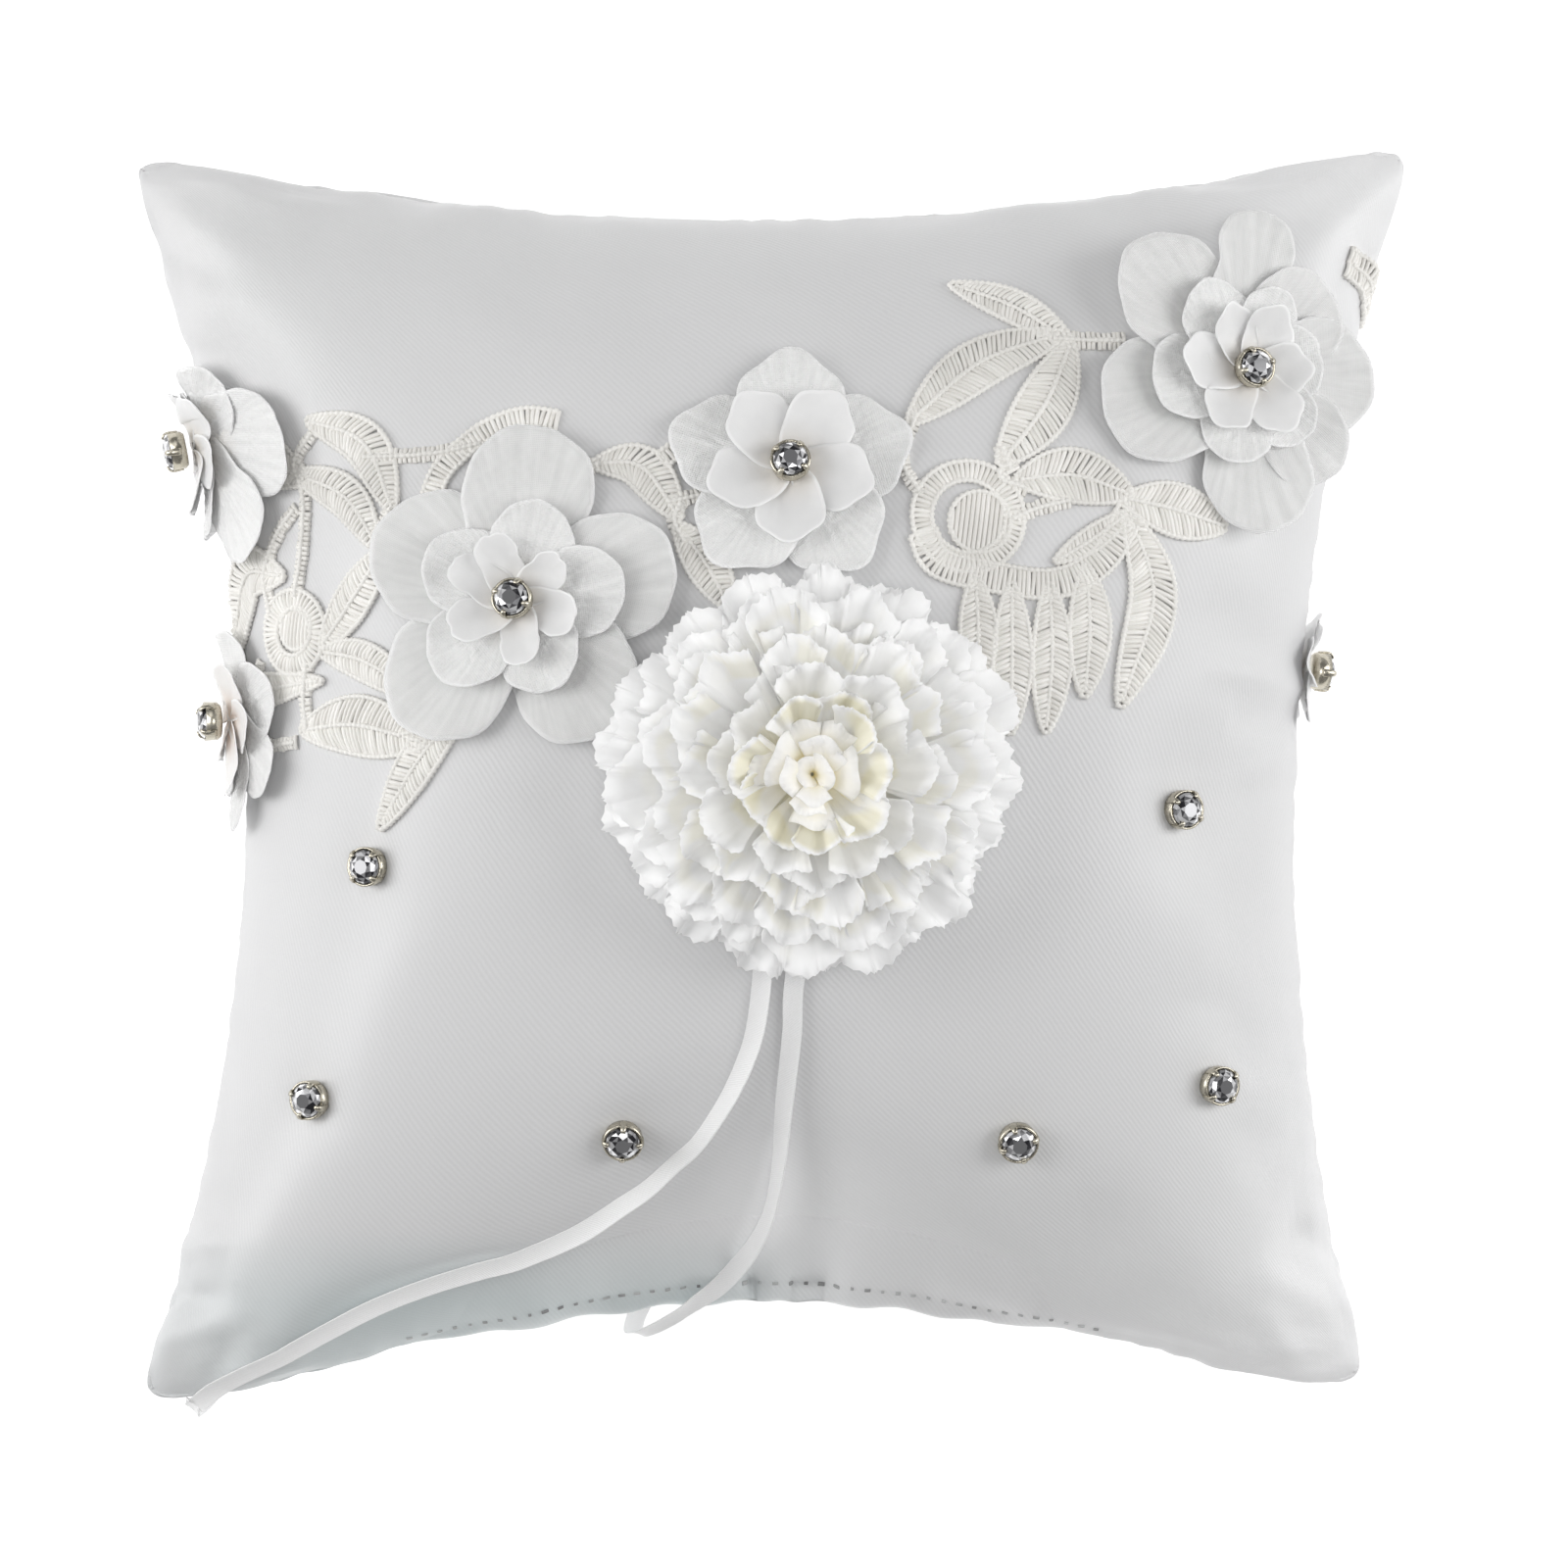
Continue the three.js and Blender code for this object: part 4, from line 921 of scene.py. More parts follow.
class Lace:
    """Corded embroidery: satin stitches between outline cords, all lying on the cloth."""

    def __init__(self, cloth, seed):
        self.cloth = cloth
        self.random = np.random.default_rng(seed)
        self.stitches = []
        self.cords = []

    def middle_line(self, stations, wrapped):
        if wrapped:
            line = drawn_point(*smooth_line(stations, 60).T)
        else:
            line = np.array([self.cloth.under(x, y) for x, y in smooth_line(stations, 60)])
        count = max(8, int(line_length(line) / STITCH_PITCH) + 1)
        return at_equal_steps(line, count)

    def add_stitch(self, middle, across, normal, length):
        self.stitches.append((middle, unit(across), normal, length))

    def add_cord(self, line, lift=CORD_LIFT):
        self.cords.append(self.cloth.settle(line, lift)[0])

    def band(self, stations, width, wrapped=False, slant=0.0, taper=False, rows=1, slit=0.0, outline=True):
        """Stitches across a line; a tapered band in two slanted rows is a leaf."""
        line = self.middle_line(stations, wrapped)
        ground, normals = self.cloth.settle(line, 0)
        along = tangents(ground)
        across = unit(np.cross(normals, along))
        share = np.linspace(0, 1, len(line))
        fullness = LEAF_TIP + (1 - LEAF_TIP) * np.sin(np.pi * share) ** LEAF_FULLNESS
        half = width / 2 * (fullness if taper else np.ones(len(line)))
        for side in (1, -1) if rows == 2 else (0,):
            reach = half - slit / 2 if side else 2 * half
            offset = side * (half + slit / 2) / 2
            offset = offset * np.ones(len(line))
            middles, up = self.cloth.settle(ground + across * offset[:, None], STITCH_LIFT)
            for i in np.flatnonzero(reach > 0.5):
                direction = (side or 1) * across[i] + (slant + self.random.uniform(-0.07, 0.07)) * along[i]
                direction = direction - up[i] * (direction @ up[i])
                jitter = self.random.uniform(-0.07, 0.07, 3)
                length = reach[i] + self.random.uniform(0.15, 0.6)
                self.add_stitch(middles[i] + jitter, direction, up[i], length)
        if outline:
            left, right = ground + across * half[:, None], ground - across * half[:, None]
            if taper:
                self.add_cord(np.concatenate([left, right[::-1], left[:1]]))
            else:
                self.add_cord(left)
                self.add_cord(right)
        if rows == 2:
            self.add_cord(ground[1:-1], SUNK_VEIN if slit else RAISED_VEIN)

    def leaf(self, width, *stations, slit=0.0, wrapped=False):
        self.band(stations, width, wrapped, slant=0.45, taper=True, rows=2, slit=slit)

    def stem(self, width, *stations):
        self.band(stations, width, outline=False)
        self.add_cord(self.middle_line(stations, False), STEM_LIFT)

    def ring(self, x, y, inner, outer):
        """A ring of radial stitches between two cords, or a disc of parallel ones where inner is 0."""
        centre = self.cloth.under(x, y)
        normal = self.cloth.settle([centre], 0)[1][0]
        up = unit(np.array([0, 1, 0]) - normal * normal[1])
        side = np.cross(up, normal)
        if inner:
            middle = (inner + outer) / 2
            for angle in np.arange(0, TAU, STITCH_PITCH / middle):
                out = side * math.cos(angle) + up * math.sin(angle)
                place, face = self.cloth.settle([centre + out * middle], STITCH_LIFT)
                self.add_stitch(place[0], out, face[0], outer - inner)
        else:
            for offset in np.arange(-outer + STITCH_PITCH / 2, outer, STITCH_PITCH):
                place, face = self.cloth.settle([centre + side * offset], STITCH_LIFT)
                chord = 2 * math.sqrt(outer**2 - offset**2)
                self.add_stitch(place[0], up + 0.15 * side, face[0], chord + 0.2)
        for radius in [inner, outer] if inner else [outer]:
            angles = np.linspace(0, TAU, max(24, int(radius * 10)))
            circle = centre + radius * (np.cos(angles)[:, None] * side + np.sin(angles)[:, None] * up)
            self.add_cord(circle)

    def finish(self, name, finish, trees):
        middles, directions, normals, lengths = (np.array(column) for column in zip(*self.stitches))
        sizes = np.stack([lengths * MM, np.ones(len(lengths)), np.ones(len(lengths))], axis=1)
        tones = self.random.uniform(0.35, 1.0, len(lengths))
        stitches = point_object(f"{name}_stitches", middles, directions, normals, sizes, tones)
        stitches = run_tree(stitches, trees["stitch"], **LACE_STITCH, finish=finish)
        starts = np.cumsum([0] + [len(line) for line in self.cords])
        edges = [(a + i, a + i + 1) for a, line in zip(starts, self.cords) for i in range(len(line) - 1)]
        paths = make_mesh(f"{name}_cords", np.concatenate(self.cords), [], edges)
        set_values(paths, "tone", np.full(len(paths.vertices), 0.85))
        cords = run_tree(make_object(paths.name, paths), trees["cord"], radius=LACE_CORD, finish=finish)
        lace = join_meshes(name, [stitches.data, cords.data])
        bpy.data.objects.remove(stitches)
        bpy.data.objects.remove(cords)
        add_piece(lace, "pillow", "lace", name.replace("corded_", ""))


def build_lace(cloth, finish, trees):
    """The four lengths of lace, by face places; wrapped leaves go by the surface's own parameters."""
    left = Lace(cloth, 11)
    left.leaf(6.4, (-71, 54.5), (-62, 50.5), (-57.2, 40))
    left.leaf(6, (-73, 46.5), (-64.8, 42.4), (-59.6, 34.5), slit=0.6)
    left.stem(2, (-57.9, 40), (-60, 35.5), (-58.5, 32))
    left.stem(1.8, (-70, 52.6), (-73, 48), (-71.5, 43), (-72, 34), (-73, 27.5))
    left.ring(-73.4, 22, 3.6, 6.6)
    left.ring(-72.9, 22.6, 0, 3.3)
    left.leaf(6.5, (-68.8, 19.6), (-63.9, 26.3), (-58.4, 34.5))
    left.leaf(6, (-69, 19), (-61.6, 17.3), (-53.5, 12.2), slit=0.8)
    left.leaf(9, (-72, 6.9), (-63.1, 7.6), (-52, 5))
    left.leaf(6.4, (-46.3, 9.6), (-52.6, 3.1), (-59.4, -8.2), slit=0.6)
    left.stem(2, (-71, 17), (-71.5, 12), (-71, 7))
    left.stem(2, (-56, 6.2), (-52, 6.8), (-49, 7.6))
    left.stem(2, (-62, 48.4), (-51.8, 48.7), (-44, 50.2))
    left.stem(1.8, (-77, 25), (-78, 31), (-76, 37), (-73, 41))
    left.stem(1.8, (-79, 17.5), (-80, 11), (-78.5, 5), (-73, 5))
    left.leaf(9, (-0.70, 0.21), (-0.84, 0.21), (-0.96, 0.15), (-1.06, 0.12), wrapped=True)
    left.leaf(5, (-0.62, 0.1), (-0.8, 0.09), (-0.93, 0.1), (-0.97, 0.17), wrapped=True)
    left.leaf(9, (-0.6, 0.32), (-0.8, 0.36), (-0.95, 0.38), (-1.06, 0.4), wrapped=True)
    left.band([(-52, 40.5), (-50, 46), (-45.5, 50.5), (-41.5, 53), (-37, 54.2), (-32.5, 53.6)], 3)
    left.finish("corded_lace_left", finish, trees)

    middle = Lace(cloth, 12)
    middle.leaf(6.4, (-27, 47), (-19.5, 46.4), (-13.6, 38.4))
    middle.leaf(6, (-14.3, 37.8), (-9.8, 31.9), (-6.1, 25), slit=0.6)
    middle.stem(2, (-13.5, 41), (-14.5, 38.2), (-13, 35))
    middle.stem(2, (-36, 44), (-31, 46), (-25.5, 46.9))
    middle.stem(2, (-15.5, 41), (-6, 43), (4, 44), (15, 44))
    middle.band([(-16.5, 47.5), (-13, 49.5), (-8.5, 48.6)], 2.6)
    middle.finish("corded_lace_middle", finish, trees)

    right = Lace(cloth, 13)
    right.leaf(5.6, (27.7, 75.2), (37.3, 71.5), (46.2, 65.6), slit=1.0)
    right.leaf(7.8, (20.8, 53.2), (31.9, 62.6), (44.6, 67.3))
    right.leaf(8.2, (45.8, 66), (41.6, 56.1), (34.6, 46.9))
    right.stem(2.5, (43, 66.4), (47.8, 66.2), (54, 66.2))
    right.stem(1.8, (22, 54.5), (19.8, 47.6), (22.5, 42.5))
    right.ring(29.8, 39, 5.6, 8.6)
    right.ring(31.6, 38.2, 0, 4.7)
    right.stem(2, (36.5, 46), (35.5, 48), (35, 49.5))
    right.stem(2, (36.5, 38.6), (40, 40.2), (45, 41.5))
    right.leaf(8.2, (37.0, 44.6), (46, 45.4), (54.8, 42.6), slit=0.6)
    right.leaf(3.5, (42.9, 32.2), (48.9, 35.9), (54.4, 40))
    right.leaf(8, (53.6, 42), (61.2, 40.5), (69.4, 38.0))
    right.stem(2, (34.5, 46), (35, 44.5), (38.5, 43.4))
    right.band([(22.9, 36.5), (25.3, 31.9), (33.9, 29.7), (43, 28.9), (50, 32.5), (54.6, 40)], 4.2)
    right.leaf(5.6, (30.8, 30), (31.2, 20.8), (30.9, 12.4), slit=0.5)
    right.leaf(6, (36.3, 29), (36.3, 17.9), (36.0, 6.2), slit=0.5)
    right.leaf(6, (42, 29), (42.4, 17.9), (41.4, 6.4), slit=0.5)
    right.leaf(6.5, (47.6, 31.8), (48.2, 22.4), (47.3, 11.8), slit=0.5)
    right.leaf(7.6, (54.0, 40.4), (58.0, 27), (52.8, 10.4), slit=0.5)
    right.finish("corded_lace_right", finish, trees)

    wrap = Lace(cloth, 14)
    wrap.band([(0.80, 0.605), (0.92, 0.57), (1, 0.54), (1.06, 0.52)], 5, wrapped=True, rows=2)
    wrap.finish("corded_lace_wrap_right", finish, trees)


# ---------------------------------------------------------------- petals


def petal_blade(length, width, outline, relief, rings=9, segments=40):
    """A petal whose blade is a rounded disc running back to the flower's middle at the origin."""
    centre = length - width / 2
    angle = np.linspace(-np.pi, np.pi, segments, endpoint=False)
    away = np.clip((np.abs(angle) - 1.9) / (np.pi - 1.9), 0, 1)
    edge = lerp(width / 2, centre, away**2 * (3 - 2 * away)) * outline(angle)
    shares = np.arange(1, rings + 1)[:, None] / rings
    x = np.concatenate([[centre], (centre + shares * edge * np.cos(angle)).ravel()])
    y = np.concatenate([[0], (shares * edge * np.sin(angle)).ravel()])
    rim = np.concatenate([[0], (shares * np.ones(segments)).ravel()])
    z = relief(x, y, rim)
    faces = [(0, 1 + i, 1 + (i + 1) % segments) for i in range(segments)]
    for ring in range(rings - 1):
        a, b = 1 + ring * segments, 1 + (ring + 1) * segments
        faces += [(a + i, b + i, b + (i + 1) % segments, a + (i + 1) % segments) for i in range(segments)]
    return np.stack([x, y, z], axis=1), faces, rim, np.hypot(x, y) / length


# ---------------------------------------------------------------- rhinestones

GIRDLE_RADIUS = 2.62
CUP_RADIUS, CUP_HEIGHT = 3.05, 2.5
TABLE_GLINT = 0.45  # brightness of the stone's flat top


def lathe(profile, sides):
    """Points and faces of a closed turned shape; the profile runs up the inside and back down the outside."""
    angles = np.linspace(0, TAU, sides, endpoint=False)
    points, rings = [], []
    for radius, height in profile:
        start = len(points)
        if radius == 0:
            points.append((0, 0, height))
            rings.append([start] * sides)
        else:
            points += [(radius * math.cos(a), radius * math.sin(a), height) for a in angles]
            rings.append(list(range(start, start + sides)))
    faces = []
    for low, high in zip(rings, rings[1:]):
        for i in range(sides):
            corners = [low[i], low[i - 1], high[i - 1], high[i]]
            faces.append([c for k, c in enumerate(corners) if c not in corners[:k]])
    return np.array(points, float), faces


def claw(angle):
    """One claw of the cup: a flat prong up the wall and over the stone's girdle."""
    line = smooth_line([(2.95, 0.9), (3.05, 2.2), (2.85, 3.0), (2.15, 3.36)], 8)
    across = np.array([0.62, 0.66, 0.62, 0.56, 0.5, 0.46, 0.42, 0.3])
    along = tangents(line)
    points, faces, sides = [], [], 8
    for (radius, height), (step_out, step_up), wide in zip(line, along, across):
        for k in range(sides):
            a = TAU * k / sides
            off = 0.2 * math.cos(a)
            r, z, y = radius + step_up * off, height - step_out * off, wide * math.sin(a)
            cos, sin = math.cos(angle), math.sin(angle)
            points.append((r * cos - y * sin, r * sin + y * cos, z))
    for ring in range(len(line) - 1):
        a, b = ring * sides, (ring + 1) * sides
        faces += [(a + k, a + (k + 1) % sides, b + (k + 1) % sides, b + k) for k in range(sides)]
    faces += [tuple(reversed(range(sides))), tuple(range(len(points) - sides, len(points)))]
    return np.array(points), faces


def stone_mesh(name, seed):
    """A brilliant-cut stone: the facets are the hull of its table, star, girdle and back corners."""
    rings = [(1.15, 3.6, 8, 0), (1.8, 3.38, 8, 0.5), (2.3, 3.05, 16, 0.25), (GIRDLE_RADIUS, 2.62, 16, 0)]
    rings += [(GIRDLE_RADIUS, 2.5, 16, 0)]
    rings += [(1.5, 1.5, 8, 0.5), (0.01, 0.75, 1, 0)]
    shape = bmesh.new()
    for radius, height, count, shift in rings:
        for i in range(count):
            angle = TAU * (i + shift) / count + seed
            shape.verts.new((radius * math.cos(angle) * MM, radius * math.sin(angle) * MM, height * MM))
    bmesh.ops.convex_hull(shape, input=shape.verts)
    bmesh.ops.recalc_face_normals(shape, faces=shape.faces)
    mesh = bpy.data.meshes.new(name)
    shape.to_mesh(mesh)
    shape.free()
    layer = mesh.attributes.new("glint", "FLOAT", "FACE")
    for face in mesh.polygons:
        x, y, z = (round(value, 2) for value in face.normal)
        code = x * 12.9 + y * 78.2 + z * 37.7 + seed  # scatters the facets' brightness
        # painted glints: the flat top gets a middling glint, other facets a bright or dark one from their normal
        layer.data[face.index].value = TABLE_GLINT if face.normal.z > 0.98 else math.sin(code * 437.5) ** 2
    return mesh


def place_on(mesh, stand, rise, falls=(0, 0)):
    """Moves a mesh drawn about the origin to that height on a stand, bent down as the cloth falls."""
    points = np.zeros(len(mesh.vertices) * 3)
    mesh.vertices.foreach_get("co", points)
    points = points.reshape(-1, 3) / MM
    points[:, 2] += rise - (falls[0] * points[:, 0] ** 2 + falls[1] * points[:, 1] ** 2) / 2
    mesh.vertices.foreach_set("co", (stand.world(points) * MM).ravel())
    mesh.update()


def build_rhinestone(name, body, stand, rise, seed, finishes):
    """A claw cup and its stone, standing at that height on the stand."""
    inside = [(0, 0.35), (2.4, 0.35), (2.72, CUP_HEIGHT)]
    outside = [(CUP_RADIUS, CUP_HEIGHT), (2.95, 0.5), (2.5, 0), (0, 0)]
    shapes = [lathe(inside + outside, 32)] + [claw(math.radians(45 + 90 * i) + seed) for i in range(4)]
    cup = make_object(f"claw_{name}_cup", make_mesh(f"claw_{name}_cup", *merged(shapes)))
    cup.data.materials.append(finishes["cup"])
    stone = make_object(f"cut_{name}_stone", stone_mesh(f"cut_{name}_stone", seed))
    stone.data.materials.append(finishes["crystal"])
    for obj, slot, node in ((cup, "cup_metal", f"{name}_cup"), (stone, "crystal", f"{name}_stone")):
        place_on(obj.data, stand, rise)
        add_piece(obj, body, slot, node)


# ---------------------------------------------------------------- flowers

PETAL_STEP = 0.8  # from one petal layer to the next
CUP_FOOT = 3.4
LAYER_WALL = 0.16


def around(count, first, length, width):
    """Petals of one size at equal angles: angle in degrees, length and width."""
    return [(first + 360 * i / count, length, width) for i in range(count)]


# Each flower: place, lift over the drawn cloth, seed and layers. Each layer: piece name, finish, petals as
# angle, length and width, rise of its tips, outline, and the petals' cup, tilt, ruffle, pleats and embossing.
FLOWERS = {
    "flower_left": ((-37.4, 25.7), 2.5, 0.4, [
        ("outer_petals", "organza",
         [(87, 27.3, 20.5), (15, 24.8, 19.5), (152, 25.6, 20.5), (225, 25.8, 20.5), (-52, 24.6, 20)],
         1.0, "round", (0.5, 0.06, 0.3, 9, 0.0)),
        ("middle_petals", "lace_petal",
         [(76, 15.5, 13), (8, 17, 14), (150, 16, 13.5), (222, 16.5, 13.5), (-64, 15, 13)],
         2.0, "round", (0.6, 0.09, 0.35, 7, 0.18)),
        ("inner_petals", "petal_satin",
         [(112, 10.6, 6.4), (38, 9.8, 6), (-18, 10.6, 7), (205, 10.8, 7), (150, 11, 6), (-80, 10.4, 6.4)],
         3.0, "notched", (1.0, 0.14, 0.3, 5, 0.0)),
    ]),
    "flower_right": ((71.4, 61.4), 2.8, 1.1, [
        ("outer_petals", "organza",
         [(132, 26.3, 18.5), (80, 26, 13.5), (42, 21, 16), (197, 24.6, 20.5), (-2, 22.5, 19), (-46, 21.5, 15),
          (-84, 25, 18.5)],
         1.0, "round", (0.7, 0.07, 0.7, 12, 0.0)),
        ("middle_petals", "lace_petal",
         [(120, 15.5, 12), (62, 14, 10), (186, 16.5, 14), (10, 13, 12), (-50, 14, 11), (-105, 15, 12)],
         2.0, "round", (0.6, 0.1, 0.5, 9, 0.16)),
        ("inner_petals", "petal_satin",
         [(172, 12.2, 9), (232, 11.4, 8.5), (-60, 11, 8.5), (60, 10.6, 8), (112, 10.4, 7.5), (0, 9.5, 8)],
         3.2, "scalloped", (0.9, 0.12, 0.4, 6, 0.0)),
    ]),
    "flower_middle": ((2.9, 45.8), 2.2, 0.2, [
        ("outer_petals", "lace_petal", around(5, 89, 18.7, 16.5),
         0.8, "scalloped", (0.5, 0.06, 0.4, 8, 0.17)),
        ("inner_petals", "petal_satin", around(5, 54, 12.8, 10.6),
         2.7, "scalloped", (0.8, 0.12, 0.4, 6, 0.0)),
    ]),
}
SIDE_FLOWERS = {  # placed by the surface's own parameters
    "flower_side_upper": ((-0.97, 0.36), 1.75, 0.7, [
        ("outer_petals", "lace_petal",
         [(2, 24, 18), (48, 16, 14), (-50, 21, 15), (112, 9.5, 10), (180, 11, 11), (-105, 14, 13)],
         1.7, "round", (0.3, 0.05, 0.3, 8, 0.17)),
        ("inner_petals", "petal_satin", around(5, 46, 10, 8.4),
         2.6, "scalloped", (0.6, 0.12, 0.3, 6, 0.0)),
    ]),
    "flower_side_lower": ((-0.93, 0.06), 1.75, 0.1, [
        ("outer_petals", "lace_petal",
         [(-85, 17.5, 9), (-40, 16, 11.5), (20, 14.5, 13), (88, 14, 13), (160, 14, 13), (230, 14, 12)],
         1.4, "round", (0.3, 0.05, 0.3, 8, 0.12)),
        ("inner_petals", "peach_satin",
         [(-72, 12.5, 7), (-8, 10.5, 8.4), (60, 10, 8), (132, 10, 8), (204, 10, 8)],
         2.6, "notched", (0.6, 0.12, 0.3, 6, 0.0)),
    ]),
    "flower_side_right": ((1.06, 0.1), 0.9, 0.9, [
        ("petals", "petal_satin", around(5, 23, 9.2, 8),
         1.3, "scalloped", (0.4, 0.1, 0.3, 6, 0.0)),
    ]),
}


def outline_of(kind, phase):
    if kind == "notched":
        return lambda angle: 1 - 0.11 * np.exp(-((angle / 0.22) ** 2)) + 0.02 * np.cos(7 * angle + phase)
    if kind == "scalloped":
        return lambda angle: 1 + 0.075 * np.cos(4.6 * angle) * np.exp(-((angle / 1.3) ** 4))
    return lambda angle: 1 + 0.022 * np.cos(4 * angle + phase) + 0.012 * np.cos(9 * angle + 2 * phase)


def relief_of(layer_cup, length, own, phase):
    """Rim cup, rise of the tip, one side over the other, a wavy rim, foot gathers and pressed pattern."""
    cup, tilt, ruffle, pleats, emboss = own

    def height(x, y, rim):
        angle = np.arctan2(y, np.maximum(x, 0.01))
        reach = np.hypot(x, y)
        gathers = 0.3 * np.sin(pleats * angle + phase) * np.exp(-reach / (0.45 * length))
        gathers = gathers * np.clip(reach / 3, 0, 1)
        wave = ruffle * rim**3 * np.sin(3 * np.arctan2(y, x - 0.55 * length) + phase)
        pressed = np.sin(2.1 * x + 2 * np.sin(1.2 * y)) * np.sin(2.0 * y + 2 * np.sin(1.0 * x + phase))
        flat = cup * rim**2 * 0.6 + tilt * y + layer_cup * (reach / length) ** 2
        return flat + gathers + wave + emboss * pressed * np.clip(1.2 - rim, 0, 1)

    return height


def flower_layer(stand, falls, rise, seed, layer, finish, cloth=None):
    """One layer of petals round the stand, bent with the cloth below, as a single mesh."""
    _, _, petals, layer_cup, kind, own = layer
    random = np.random.default_rng(seed)
    points, faces, rims, reaches, fans, uvs, total = [], [], [], [], [], [], 0
    rings, segments = (12, 56) if own[4] else (10, 48)
    for i, (degrees, length, width) in enumerate(petals):
        phase = random.uniform(0, TAU)
        outline, relief = outline_of(kind, phase), relief_of(layer_cup, length, own, phase)
        local, sides, rim, reach = petal_blade(length, width, outline, relief, rings, segments)
        angle = math.radians(degrees)
        x = local[:, 0] * math.cos(angle) - local[:, 1] * math.sin(angle)
        y = local[:, 0] * math.sin(angle) + local[:, 1] * math.cos(angle)
        if cloth:
            under, normals = cloth.settle(stand.drape(x, y), 0)
            points.append(under + normals * (local[:, 2] + rise)[:, None])
        else:
            z = local[:, 2] + rise - (falls[0] * x**2 + falls[1] * y**2) / 2
            points.append(stand.world(np.stack([x, y, z], axis=1)))
        faces += [tuple(k + total for k in side) for side in sides]
        rims.append(rim)
        reaches.append(reach)
        fans.append(np.arctan2(local[:, 1], np.maximum(local[:, 0], 0.3)) + 5 * i)
        uvs.append(local[:, :2] + (40 * i, 0))
        total += len(local)
    mesh = make_mesh("petals", np.concatenate(points), faces)
    set_values(mesh, "rim", np.concatenate(rims))
    set_values(mesh, "reach", np.concatenate(reaches))
    set_values(mesh, "fan", np.concatenate(fans))
    set_uv(mesh, np.concatenate(uvs))
    mesh.materials.append(finish)
    return finished(make_object("petals", mesh), thickness=LAYER_WALL)


def build_flower(name, stand, spec, finishes, cloth=None):
    """The layers of a flower and its rhinestone; where cloth is given, the petals are draped on it."""
    _, lift, seed, layers = spec
    falls = stand.fall(max(length for _, length, _ in layers[0][2]))
    for number, layer in enumerate(layers):
        rise = lift + number * PETAL_STEP
        petals = flower_layer(stand, falls, rise, int(seed * 100) + number, layer, finishes[layer[1]], cloth)
        petals.name = petals.data.name = f"shaped_{name}_{layer[0]}"
        slot = "petal_satin" if "satin" in layer[1] else "organza"
        add_piece(petals, name, slot, f"{name}_{layer[0]}")
    top_length = layers[-1][2][0][1]
    seat = lift + len(layers) * PETAL_STEP + layers[-1][3] * (CUP_FOOT / top_length) ** 2
    build_rhinestone(name, name, stand, seat, seed, finishes)


# ---------------------------------------------------------------- carnation

CARNATION_RADIUS, CARNATION_HEIGHT, CARNATION_LIFT = 32.7, 20.0, 2.9
CARNATION_PETALS = [17, 17, 16, 15, 14, 12, 9]  # layer by layer, from the lowest
LAYER_RISE = 1.1
SILK_WALL = 0.14
ROSETTE_RINGS = [(1.2, 2, 20.4), (3.0, 3, 21.8), (5.2, 4, 21.6), (7.2, 5, 19.8)]  # radius, petals, height
ROSETTE_FOOT = 8.0


def frill_petal(name, radius, height, spread, cream, seed, columns=26, rows=9):
    """A fan-shaped petal with a toothed, frilled tip; its foot is at the flower's middle."""
    random = np.random.default_rng(seed)
    u, v = np.meshgrid(np.linspace(0, 1, rows + 1), np.linspace(-1, 1, columns + 1), indexing="ij")
    lobes = 0.035 * np.cos(random.uniform(2.5, 5.5) * v + random.uniform(-0.8, 0.8)) - 0.09 * v**4
    teeth = np.where(np.arange(columns + 1) % 2 == 0, 0.0, 0.014 * random.uniform(0.3, 1.6, columns + 1))
    length = radius * (0.93 + lobes + teeth[None, :] * np.clip((u - 0.8) / 0.2, 0, 1))
    waves = random.uniform(1.3, 2.6)
    phase = random.uniform(0, TAU)
    frill = (0.8 + 0.5 * cream) * u**2.0 * np.sin(waves * np.pi * v + phase)
    fine = 0.35 * u**3 * np.sin(2.7 * waves * np.pi * v + 2 * phase)
    reach = length * (0.06 + 0.94 * u)
    angle = spread * v * (0.55 + 0.45 * u) + 0.02 * u**3 * np.sin(9 * v + phase)
    rise = height * (0.15 * u + 0.85 * u**1.5) + frill + fine
    curl = 1.6 * u**6 * random.uniform(0.0, 1.5)
    x = reach * np.cos(angle) - 0.5 * curl
    y = reach * np.sin(angle)
    points = np.stack([x, y, rise - 0.4 * curl], axis=-1).reshape(-1, 3)
    faces = quads(np.arange(len(points)).reshape(rows + 1, columns + 1))
    mesh = make_mesh(name, points, faces)
    set_values(mesh, "rim", u.ravel())
    set_values(mesh, "reach", u.ravel())
    set_values(mesh, "cream", np.full(len(points), cream))
    set_uv(mesh, points[:, :2])
    return mesh


